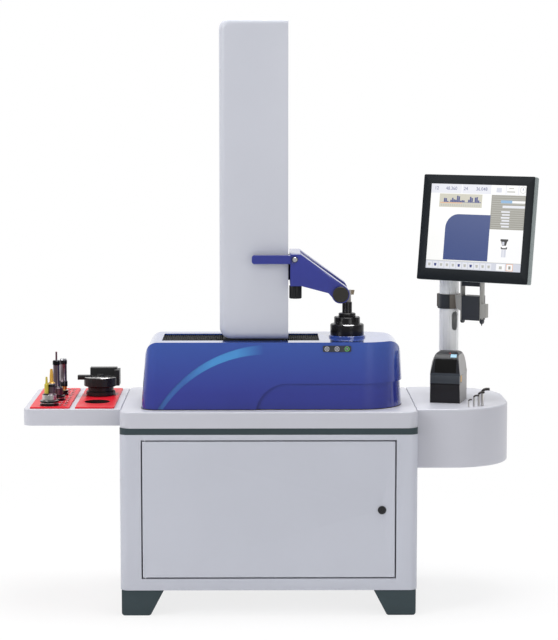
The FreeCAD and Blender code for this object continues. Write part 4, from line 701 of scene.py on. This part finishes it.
def button_mark(side, ring_ink, half_width, half_height):
    low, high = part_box("control_button_" + side)
    centre = Vector(((low[0] + high[0]) / 2.0, low[1], (low[2] + high[2]) / 2.0))
    bm = bmesh.new()
    section = [(mark_ring - mark_line, 0.0), (mark_ring, 0.0), (mark_ring, mark_thickness),
               (mark_ring - mark_line, mark_thickness), (mark_ring - mark_line, 0.0)]
    add_turned(bm, section, centre, (0.0, -1.0, 0.0), 36)
    ring_faces = len(bm.faces)
    add_soft_box(bm, centre - Vector((half_width, mark_thickness, half_height)),
                 centre + Vector((half_width, 0.0, half_height)), mark_edge, 1)
    bm.faces.ensure_lookup_table()
    for face in bm.faces[ring_faces:]:
        face.material_index = 1
    finished("button_mark_" + side, bm, [ring_ink, mark_pale], side + "_button")


dress("control_strip", strip_dark, bevel=0.0005)
for side in ("left", "middle", "right"):
    dress("control_button_" + side, button_dark)
button_mark("left", mark_pale, 0.0009, 0.0030)
button_mark("middle", mark_pale, 0.0022, 0.0013)
button_mark("right", mark_green_glow, 0.0014, 0.0014)


# The tower's housing is a tall grey lacquered cover.
# Its left edges are rounded, its right edges are sharp.
tower_colour = (0.558, 0.573, 0.635)
tower_grey = coated("tower_lacquer", tower_colour, 0.36, 1000.0, 0.04, 0.02)
dress("tower_housing", tower_grey, bevel=0.0012)


# Inside stand an aluminium column with a ground rail, a pulley and the counterweight.
# The two straight runs of the steel band are rebuilt as blocks cut into many rows along their height, because
# they grow and shrink as the carrier moves.
satin_aluminium = turned_metal("satin_aluminium", (0.70, 0.71, 0.73), roughness=0.36, pitch=500.0)
band_cuts = 23
upright_rise = 0.01
dress("tower_column", satin_aluminium)
dress("column_rail", ground_steel)
dress("balance_pulley", satin_aluminium)
dress("counterweight", cast_iron)
dress("band_wrap", ground_steel)


def band_run(node_name):
    low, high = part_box(node_name)
    bm = bmesh.new()
    block = add_box(bm, low, high)
    upright = {edge for vert in block for edge in vert.link_edges
               if abs(edge.verts[0].co.z - edge.verts[1].co.z) > upright_rise}
    bmesh.ops.subdivide_edges(bm, edges=list(upright), cuts=band_cuts, use_grid_fill=True)
    piece = finished("steel_" + node_name, bm, [ground_steel])
    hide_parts(node_name)
    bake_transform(piece)


band_run("band_carriage_run")
band_run("band_weight_run")


# Pleated black covers close the slot at both sides of the tower. They are rubber-coated cloth, folded into
# narrow pleats and clamped at the slot's end and under the tower, so they follow the tower as it slides.
pleat_pitch = 0.0063
pleat_height = 0.0045
cloth_thickness = 0.0007
bellows_black = coated("bellows_black", (0.009, 0.009, 0.010), 0.55, 600.0, 0.2, 0.1, specular=0.2)


def pleated_cover(node_name):
    low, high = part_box(node_name)
    length = high[0] - low[0]
    folds = 2 * max(2, round(length / pleat_pitch / 2.0) * 2)
    bm = bmesh.new()
    sheet = bmesh.ops.create_grid(bm, x_segments=folds, y_segments=2, size=0.5)["verts"]
    bmesh.ops.scale(bm, verts=sheet, vec=(length, high[1] - low[1], 1.0))
    middle = Vector(((low[0] + high[0]) / 2.0, (low[1] + high[1]) / 2.0, high[2] - cloth_thickness))
    bmesh.ops.translate(bm, verts=sheet, vec=middle)
    for vert in sheet:
        if round((vert.co.x - low[0]) / length * folds) % 2:
            vert.co.z -= pleat_height
    bmesh.ops.solidify(bm, geom=bm.faces, thickness=cloth_thickness)
    piece = finished("pleated_" + node_name, bm, [bellows_black], smooth=25.0)
    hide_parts(node_name)
    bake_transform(piece)


pleated_cover("bellows_left")
pleated_cover("bellows_right")


# The carrier is a C-shaped aluminium plate frame in the same blue as the cover, on a black guide block.
# A handle crosses the tower at its left, and a turned knob sets it finely.
carrier_colour = (0.031, 0.041, 0.262)
carrier_blue = coated("carrier_blue_lacquer", carrier_colour, 0.3, 700.0, 0.03, 0.04, coat=0.7, specular=0.25)
guide_black = coated("guide_black", (0.012, 0.012, 0.014), 0.45, 500.0, 0.06, 0.1, specular=0.3)
dress("carrier_frame", carrier_blue, bevel=0.0016)
dress("carrier_handle", carrier_blue)
dress("z_carriage", guide_black, bevel=0.0006)
dress("fine_knob", guide_black, bevel=0.0003)


# The optics are a camera in the front arm and a light in the rear arm, behind coated glass.
# The camera has a dark anodised cap with a shallow dished face.
optic_dark = coated("optic_dark", (0.030, 0.028, 0.024), 0.42, 500.0, 0.05, 0.12, specular=0.3)
glass, glass_tree, glass_shader = plain_material("coated_glass", 0.03)
glass_shader.inputs["Transmission Weight"].default_value = 0.9
glass_noise = node(glass_tree, "ShaderNodeTexNoise", Vector=on_piece(glass_tree), Scale=60.0)
glass_tint = two_tones(glass_tree, glass_noise.outputs["Fac"], (0.5, 0.56, 0.8), 0.1)
glass_tree.links.new(glass_tint, glass_shader.inputs["Base Color"])
dress("camera_housing", optic_dark)
dress("light_housing", optic_dark)
dress("optic_lenses", glass)


# The release button is chrome. It sits in a black bushing,
# which is pressed into the carrier's front plate.
button_low, button_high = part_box("release_button")
bushing_inside = 0.0080
bushing_outside = 0.0094
bushing_proud = 0.0007
button_chrome = turned_metal("button_chrome", (0.86, 0.86, 0.88), roughness=0.3)


def release_bushing():
    bm = bmesh.new()
    section = [(bushing_inside, 0.0), (bushing_outside, 0.0), (bushing_outside, bushing_proud * 0.6),
               (bushing_outside - 0.0005, bushing_proud), (bushing_inside, bushing_proud),
               (bushing_inside, 0.0)]
    centre = ((button_low[0] + button_high[0]) / 2.0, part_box("carrier_frame")[0][1],
              (button_low[2] + button_high[2]) / 2.0)
    add_turned(bm, section, centre, (0.0, -1.0, 0.0), 40)
    finished("release_bushing", bm, [guide_black], "carrier")


dress("release_button", button_chrome)
release_bushing()


# The spindle runs in a blue ring. A blackened adapter with a boring bar sits in its taper.
# A thin band along the front of its shoulder edge is bright metal as a painted highlight, and the block that
# holds the insert is ground bright.
ring_low, ring_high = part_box("spindle_housing")
spindle_centre = ((ring_low[0] + ring_high[0]) / 2.0, (ring_low[1] + ring_high[1]) / 2.0)
adapter_shoulder = 0.888
highlight_band_height = 0.0009
tip_block_level = 0.9565
black_turned = turned_metal("black_turned", (0.011, 0.010, 0.011), spindle_centre, 0.26, metallic=0.0,
                            specular=0.3)
bright_steel_and_highlight = turned_metal("bright_steel_and_highlight", (0.62, 0.62, 0.64), spindle_centre, 0.22)
bar_steel = turned_metal("bar_steel", (0.42, 0.40, 0.39), spindle_centre, 0.32)
insert_gold = turned_metal("insert_gold", (0.46, 0.38, 0.27), roughness=0.35)


def adapter_highlight_pick(centre, normal):
    # The bright band is a painted highlight: the shoulder edge, at its front only.
    on_line = adapter_shoulder - highlight_band_height < centre.z < adapter_shoulder and 0.2 < normal.z < 0.97
    return int(on_line and centre.y < spindle_centre[1] and abs(centre.x - spindle_centre[0] - 0.003) < 0.017)


dress("spindle_housing", cover_blue)
dress("spindle_bearings", bright_steel_and_highlight)
dress("spindle", bright_steel_and_highlight)
dress("tool_adapter", black_turned, bright_steel_and_highlight, bevel=0.0006, pick=adapter_highlight_pick)
dress("boring_bar", black_turned, bar_steel, bevel=0.0005,
      pick=lambda centre, normal: int(centre.z > tip_block_level))
dress("cutting_insert", insert_gold)


# The pole is an extruded aluminium tube with grooves.
# It is drawn and anodised, so its grain runs upwards.
pole_colour = (0.88, 0.89, 0.90)


def drawn_aluminium():
    mat, tree, shader = plain_material("drawn_aluminium", 0.42, 0.0)
    stretch = node(tree, "ShaderNodeMapping", Vector=on_piece(tree), Scale=(1.0, 1.0, 0.01))
    grain = node(tree, "ShaderNodeTexNoise", Vector=stretch.outputs["Vector"], Scale=420.0, Detail=3.0)
    tree.links.new(two_tones(tree, grain.outputs["Fac"], pole_colour, 0.06), shader.inputs["Base Color"])
    bump = node(tree, "ShaderNodeBump", Strength=0.1, Distance=0.0002, Height=grain.outputs["Fac"])
    tree.links.new(bump.outputs["Normal"], shader.inputs["Normal"])
    return mat


dress("monitor_pole", drawn_aluminium())


# A black ring on the pole carries the monitor's arm. Its right half and the hub are bare cast metal.
# The arm is two pressed plates with a black box and a black boss between them, and a black foot cone. The
# plates' lower lobe beside the cone is painted black as painted shade.
arm_colour = (0.345, 0.34, 0.32)
arm_metal = coated("arm_metal", arm_colour, 0.4, 600.0, 0.05, 0.06)
clamp_cast = coated("clamp_cast", (0.150, 0.130, 0.110), 0.5, 300.0, 0.1, 0.1)
box_black = coated("box_black", (0.030, 0.034, 0.041), 0.45, 500.0, 0.06, 0.1, specular=0.3)
clamp_low, clamp_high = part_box("pole_clamp")
clamp_middle = (clamp_low[0] + clamp_high[0]) / 2.0
dress("pole_clamp", box_black, clamp_cast, pick=lambda centre, normal: int(centre.x > clamp_middle))
arm_across = Vector((math.cos(math.radians(34.0)), -math.sin(math.radians(34.0)), 0.0))
arm_middle = (Vector(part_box("arm_box")[0]) + Vector(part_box("arm_box")[1])) / 2.0
pole_middle = (Vector((clamp_low[0], clamp_low[1], 0.0)) + Vector((clamp_high[0], clamp_high[1], 0.0))) / 2.0
hub_reach = 0.046
cross_level = 0.99
plate_inside = 0.0295
cone_and_shade_top = 0.8935


def arm_pick(centre, normal):
    between_plates = abs((centre - arm_middle).dot(arm_across)) < plate_inside
    # Below the cone's top, the plates' lobe is painted black with the cone, as painted shade.
    if centre.z < cone_and_shade_top or (centre.z > cross_level and between_plates):
        return 1
    near_pole = math.hypot(centre.x - pole_middle.x, centre.y - pole_middle.y) < hub_reach
    return 2 if near_pole else 0


dress("monitor_arm", arm_metal, box_black, clamp_cast, bevel=0.0006, pick=arm_pick)
dress("arm_box", box_black)


# The monitor is an industrial flat screen in a black front frame with a grey-green metal tray behind it.
# The tray's back has a field of pressed louvres and four screws around the bracket.
monitor_place = (Matrix.Translation((0.6107, -0.05835, 1.1877)) @ Matrix.Rotation(math.radians(-34.0), 4, "Z")
                 @ Matrix.Rotation(math.radians(-8.0), 4, "X"))
monitor_front = monitor_place.to_3x3() @ Vector((0.0, -1.0, 0.0))
monitor_depth = 0.026
bezel_depth = 0.007
louvre_rows = 9
louvre_pitch = 0.0075
louvre_half = 0.062
louvre_rise = 0.0012
louvre_low = 0.062
louvre_centre = 0.105
louvre_height = 0.0042
louvre_edge = 0.0005
screw_spread = 0.050
bezel_black = coated("bezel_black", (0.0105, 0.0135, 0.0165), 0.45, 900.0, 0.05, 0.1, specular=0.12)
tray_green = coated("tray_green", (0.235, 0.275, 0.275), 0.42, 900.0, 0.05, 0.04)


def bezel_pick(centre, normal):
    depth = (centre - monitor_place.translation).dot(-monitor_front)
    return 0 if depth < bezel_depth or normal.dot(monitor_front) > 0.5 else 1


def monitor_back():
    bm = bmesh.new()
    for side in (-1, 1):
        for row in range(louvre_rows):
            level = louvre_low + row * louvre_pitch
            centre = side * louvre_centre
            low = (centre - louvre_half, monitor_depth, level)
            high = (centre + louvre_half, monitor_depth + louvre_rise, level + louvre_height)
            add_soft_box(bm, low, high, louvre_edge, 2)
    screw = [(0.0, 0.0), (0.0045, 0.0), (0.004, 0.0016), (0.0018, 0.0024), (0.0015, 0.0012), (0.0, 0.0012)]
    for x in (-screw_spread, screw_spread):
        for z in (-screw_spread, screw_spread):
            add_turned(bm, screw, (x, monitor_depth, z), (0.0, 1.0, 0.0), 20)
    bmesh.ops.transform(bm, matrix=monitor_place, verts=bm.verts)
    finished("monitor_louvres", bm, [tray_green], "monitor")


dress("monitor_housing", bezel_black, tray_green, bevel=0.0008, pick=bezel_pick)
monitor_back()


# The screen is lit. Its picture is a plain measuring page: two readouts, a bar chart, the blue outline of an
# edge, a list, a small tool and a row of keys. Everything on it is flat and lies on the glass.
screen_half = (0.169, 0.135)
screen_rise = 0.004
screen_recess = 0.00245
layer_step = 0.00005
page_tones = {
    "page": (0.98, 0.98, 0.965), "bar": (0.80, 0.81, 0.87), "paper": (0.97, 0.97, 0.98),
    "navy": (0.045, 0.06, 0.22), "blue": (0.036, 0.066, 0.222), "sand": (0.62, 0.60, 0.50),
    "grey": (0.33, 0.32, 0.28), "sky": (0.26, 0.45, 0.68), "line": (0.50, 0.50, 0.46),
    "orange": (0.85, 0.40, 0.18), "dark": (0.03, 0.03, 0.03), "pale": (0.66, 0.68, 0.76)}
page_order = list(page_tones)


def lit_tone(name, colour):
    """A glowing colour behind glass, with the faint unevenness of a backlight."""
    mat, tree, shader = plain_material("screen_" + name, 0.2, 0.0, 0.25)
    glow = node(tree, "ShaderNodeTexNoise", Vector=on_piece(tree), Scale=6.0, Detail=1.0)
    tree.links.new(two_tones(tree, glow.outputs["Fac"], colour, 0.02), shader.inputs["Emission Color"])
    shader.inputs["Base Color"].default_value = (0.01, 0.01, 0.01, 1.0)
    shader.inputs["Emission Strength"].default_value = 0.97
    return mat


def page_point(across, down, layer):
    """A point of the page, with across and down running from 0 to 1."""
    return Vector(((2.0 * across - 1.0) * screen_half[0], screen_recess - layer * layer_step,
                   screen_rise + (1.0 - 2.0 * down) * screen_half[1]))


def add_patch(bm, tone, left, top, right, bottom, layer=1, lean=0.0):
    """A flat patch of one tone. lean narrows its lower edge by that share at each side."""
    corners = [(left, top), (right, top), (right - lean, bottom), (left + lean, bottom)]
    face = bm.faces.new([bm.verts.new(page_point(u, v, layer)) for u, v in reversed(corners)])
    face.material_index = page_order.index(tone)
    return face


def add_figures(bm, text, left, top, height, tone="navy"):
    """Figures of a readout, from a text curve that is made a mesh before its place is applied."""
    curve = bpy.data.curves.new("readout_" + text, "FONT")
    curve.body = text
    curve.size = height / 0.7
    holder = bpy.data.objects.new("readout_" + text, curve)
    scene.collection.objects.link(holder)
    bpy.context.view_layer.update()
    flat = bpy.data.meshes.new_from_object(holder)
    bpy.data.objects.remove(holder)
    start = page_point(left, top, 3) - Vector((0.0, 0.0, height))
    flat.transform(Matrix.Translation(start) @ Matrix.Rotation(math.radians(90.0), 4, "X"))
    known = len(bm.faces)
    bm.from_mesh(flat)
    bpy.data.meshes.remove(flat)
    bm.faces.ensure_lookup_table()
    for face in bm.faces[known:]:
        face.material_index = page_order.index(tone)


def screen_picture():
    bm = bmesh.new()

    def patch(*place, **more):
        return add_patch(bm, *place, **more)

    patch("page", 0.0, 0.0, 1.0, 1.0, 0)
    patch("paper", 0.645, 0.52, 1.0, 0.90)
    # Top bar with two readouts, and a panel with two keys and a round dial at its right.
    patch("bar", 0.0, 0.0, 1.0, 0.108)
    patch("paper", 0.325, 0.0, 0.332, 0.108, 2)
    add_figures(bm, "12", 0.035, 0.03, 0.0105)
    add_figures(bm, "48.360", 0.155, 0.03, 0.0105)
    add_figures(bm, "24", 0.345, 0.03, 0.0105)
    add_figures(bm, "36.048", 0.475, 0.03, 0.0105)
    patch("paper", 0.635, 0.0, 0.785, 0.104, 2)
    patch("pale", 0.69, 0.03, 0.745, 0.085, 3)
    patch("paper", 0.795, 0.0, 0.915, 0.104, 2)
    patch("line", 0.82, 0.03, 0.87, 0.042, 3)
    patch("line", 0.80, 0.068, 0.885, 0.082, 3)
    patch("paper", 0.925, 0.0, 1.0, 0.104, 2)
    dial_ring = patch("line", 0.935, 0.01, 0.995, 0.09, 3)
    dial_face = patch("paper", 0.939, 0.015, 0.991, 0.085, 4)
    for dial_part, reach in ((dial_ring, 0.0095), (dial_face, 0.0085)):
        bmesh.ops.bevel(bm, geom=list(dial_part.verts), offset=reach, segments=6, profile=0.5,
                        affect="VERTICES", material=-1)
    patch("navy", 0.962, 0.03, 0.968, 0.055, 5)
    # Bar chart with an orange base line.
    patch("sand", 0.095, 0.115, 0.548, 0.272)
    for step in range(24):
        wave = abs(math.sin(step * 0.83) * math.cos(step * 0.31 + 0.4))
        left = 0.125 + step * 0.0172
        patch("navy", left, 0.212 - 0.082 * wave, left + 0.0155, 0.214, 2)
    patch("orange", 0.105, 0.217, 0.34, 0.224, 2)
    patch("line", 0.34, 0.219, 0.535, 0.223, 2)
    for step in range(18):
        left = 0.115 + step * 0.0235
        patch("line", left, 0.236, left + 0.012, 0.262, 2)
    # Blue outline of a cutting edge, with its large round corner.
    edge = patch("blue", 0.178, 0.352, 0.648, 0.892, 2)
    corner = min(edge.verts, key=lambda v: v.co.x - v.co.z)
    bmesh.ops.bevel(bm, geom=[corner], offset=0.046, segments=14, profile=0.5, affect="VERTICES", material=-1)
    # List with rules, a marked row and two fields.
    patch("grey", 0.645, 0.115, 1.0, 0.515)
    for row in range(15):
        top = 0.135 + row * 0.0255
        patch("line", 0.655, top, 0.99, top + 0.006, 2)
    patch("sky", 0.745, 0.175, 0.862, 0.208, 3)
    patch("paper", 0.862, 0.180, 0.995, 0.206, 3)
    patch("bar", 0.765, 0.235, 0.995, 0.262, 3)
    for row in range(6):
        top = 0.30 + row * 0.034
        patch("bar", 0.755 + 0.01 * (row % 2), top, 0.845, top + 0.018, 3)
    # Small picture of a tool: taper head, ring and shank.
    patch("dark", 0.770, 0.625, 0.850, 0.648, 2)
    patch("dark", 0.778, 0.648, 0.842, 0.700, 2, lean=0.012)
    patch("pale", 0.790, 0.655, 0.812, 0.695, 3)
    patch("dark", 0.776, 0.718, 0.846, 0.742, 2, lean=0.006)
    patch("paper", 0.790, 0.716, 0.830, 0.728, 3)
    patch("pale", 0.788, 0.745, 0.834, 0.835, 2)
    patch("bar", 0.800, 0.745, 0.815, 0.835, 3)
    # Row of keys along the lower edge.
    patch("pale", 0.0, 0.905, 1.0, 1.0)
    patch("line", 0.0, 0.901, 1.0, 0.906, 2)
    for step in range(11):
        left = 0.018 + step * 0.063
        patch("bar", left - 0.006, 0.918, left + 0.046, 0.99, 2)
        ink = "navy" if step in (1, 5, 7) else "line"
        patch(ink, left + 0.006, 0.938, left + 0.034, 0.970, 3, lean=0.004)
    patch("paper", 0.745, 0.915, 0.835, 0.99, 2)
    patch("line", 0.775, 0.94, 0.805, 0.975, 3)
    patch("orange", 0.848, 0.912, 0.918, 0.992, 2)
    patch("paper", 0.853, 0.918, 0.913, 0.986, 3)
    patch("grey", 0.872, 0.935, 0.895, 0.972, 4)
    bmesh.ops.transform(bm, matrix=monitor_place, verts=bm.verts)
    tones = [lit_tone(name, page_tones[name]) for name in page_order]
    finished("screen_picture", bm, tones, "monitor", solid=False)


screen_dark = coated("screen_dark_glass", (0.02, 0.02, 0.025), 0.1, 300.0, 0.0, 0.05)
dress("monitor_screen", screen_dark)
screen_picture()


# The label printer has a black front, a hinged lid and light-grey side shells that reach over its shoulders.
# Yellow latches at both sides hold the lid.
printer_place = Matrix.Translation((0.5159, -0.09635, 0.638)) @ Matrix.Rotation(math.radians(-15.0), 4, "Z")
printer_side = printer_place.to_3x3() @ Vector((1.0, 0.0, 0.0))
printer_half = 0.0485
printer_split = 0.087
printer_height = 0.158
shell_grey = (0.335, 0.325, 0.320)
shell_reach = 0.012
lip_top = printer_place.translation.z + 0.0945
band_bottom = 0.066
printer_black = coated("printer_black", (0.0135, 0.0125, 0.016), 0.42, 700.0, 0.08, 0.1, specular=0.3)
printer_band = coated("printer_band_grey", (0.040, 0.048, 0.060), 0.35, 700.0, 0.05, 0.1)
printer_shell = coated("printer_shell_grey", shell_grey, 0.42, 700.0, 0.05, 0.03)
latch_yellow = coated("latch_yellow", (0.72, 0.40, 0.05), 0.4, 500.0, 0.04, 0.05)


def shoulder_mask(tree):
    """1 on the lid's side shells, whose edge leans inwards towards the top."""
    turn = node(tree, "ShaderNodeMapping", Vector=on_piece(tree), Location=printer_place.translation,
                Rotation=(0.0, 0.0, math.radians(-15.0)))
    turn.vector_type = "TEXTURE"
    local = node(tree, "ShaderNodeSeparateXYZ", Vector=turn.outputs["Vector"]).outputs
    edge = ranged(tree, local["Z"], printer_half - 0.0006, printer_half - shell_reach,
                  printer_split, printer_height)
    over = calc(tree, "SUBTRACT", calc(tree, "ABSOLUTE", local["X"]), edge)
    return ranged(tree, over, 0.0, 1.0, -0.0003, 0.0003)


def base_pick(centre, normal):
    local = printer_place.inverted() @ centre
    if abs(normal.dot(printer_side)) > 0.7:
        return 2
    return 1 if local.z > band_bottom and local.y < 0.02 else 0


def lip_mask(tree):
    """1 on the lid's lower lip, which has the colour of the band below it."""
    return ranged(tree, object_axes(tree)["Z"], 1.0, 0.0, lip_top - 0.0003, lip_top + 0.0003)


lid_finish = coated("printer_lid_finish", (0.013, 0.014, 0.019), 0.36, 700.0, 0.06, 0.1, specular=0.3)
painted_over(lid_finish, (0.040, 0.048, 0.060), lip_mask)
painted_over(lid_finish, shell_grey, shoulder_mask)
dress("printer_base", printer_black, printer_band, printer_shell, bevel=0.0008, pick=base_pick)
dress("printer_lid", lid_finish, bevel=0.0012)
dress("printer_latches", latch_yellow)


# The lid carries a smoked window, a small lit display and a red lamp.
# They are thin panels glued on its curve.
window_span = (-0.034, 0.034, 0.0965, 0.1375)
display_span = (0.0125, 0.0315, 0.1430, 0.1512)
lamp_span = (0.0075, 0.0105, 0.1530, 0.1546)
panel_thickness = 0.0006


def lid_tree():
    """The lid's own surface, merged on a copy, to lay panels on."""
    bm = bmesh.new()
    bm.from_mesh(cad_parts["printer_lid"].data)
    bmesh.ops.remove_doubles(bm, verts=bm.verts, dist=0.00001)
    tree = BVHTree.FromBMesh(bm)
    bm.free()
    return tree


def lid_panel(name, span, materials, shell, columns=14, rows=10):
    left, right, low, high = span
    bm = bmesh.new()
    bmesh.ops.create_grid(bm, x_segments=columns, y_segments=rows, size=0.5)
    bmesh.ops.rotate(bm, verts=bm.verts, matrix=Matrix.Rotation(math.radians(90.0), 3, "X"))
    bmesh.ops.scale(bm, verts=bm.verts, vec=(right - left, 1.0, high - low))
    bmesh.ops.translate(bm, verts=bm.verts, vec=((left + right) / 2.0, -0.05, (low + high) / 2.0))
    bmesh.ops.transform(bm, matrix=printer_place, verts=bm.verts)
    back = printer_place.to_3x3() @ Vector((0.0, 1.0, 0.0))
    for vert in bm.verts:
        hit = shell.ray_cast(vert.co, back)[0]
        if hit:
            vert.co = hit - back * panel_thickness
    bmesh.ops.recalc_face_normals(bm, faces=bm.faces)
    bmesh.ops.solidify(bm, geom=bm.faces, thickness=panel_thickness * 1.5)
    return finished(name, bm, materials, "lid", smooth=40.0)


window_black = coated("window_smoked", (0.006, 0.006, 0.006), 0.12, 300.0, 0.0, 0.1, specular=0.25)
display_blue = lit_tone("printer_display", (0.35, 0.66, 0.88))
lamp_red = lit_tone("printer_lamp", (0.75, 0.10, 0.08))
lid_surface = lid_tree()
lid_panel("printer_window", window_span, [window_black], lid_surface)
lid_panel("printer_display", display_span, [display_blue], lid_surface, 6, 4)
lid_panel("printer_lamp", lamp_span, [lamp_red], lid_surface, 3, 2)
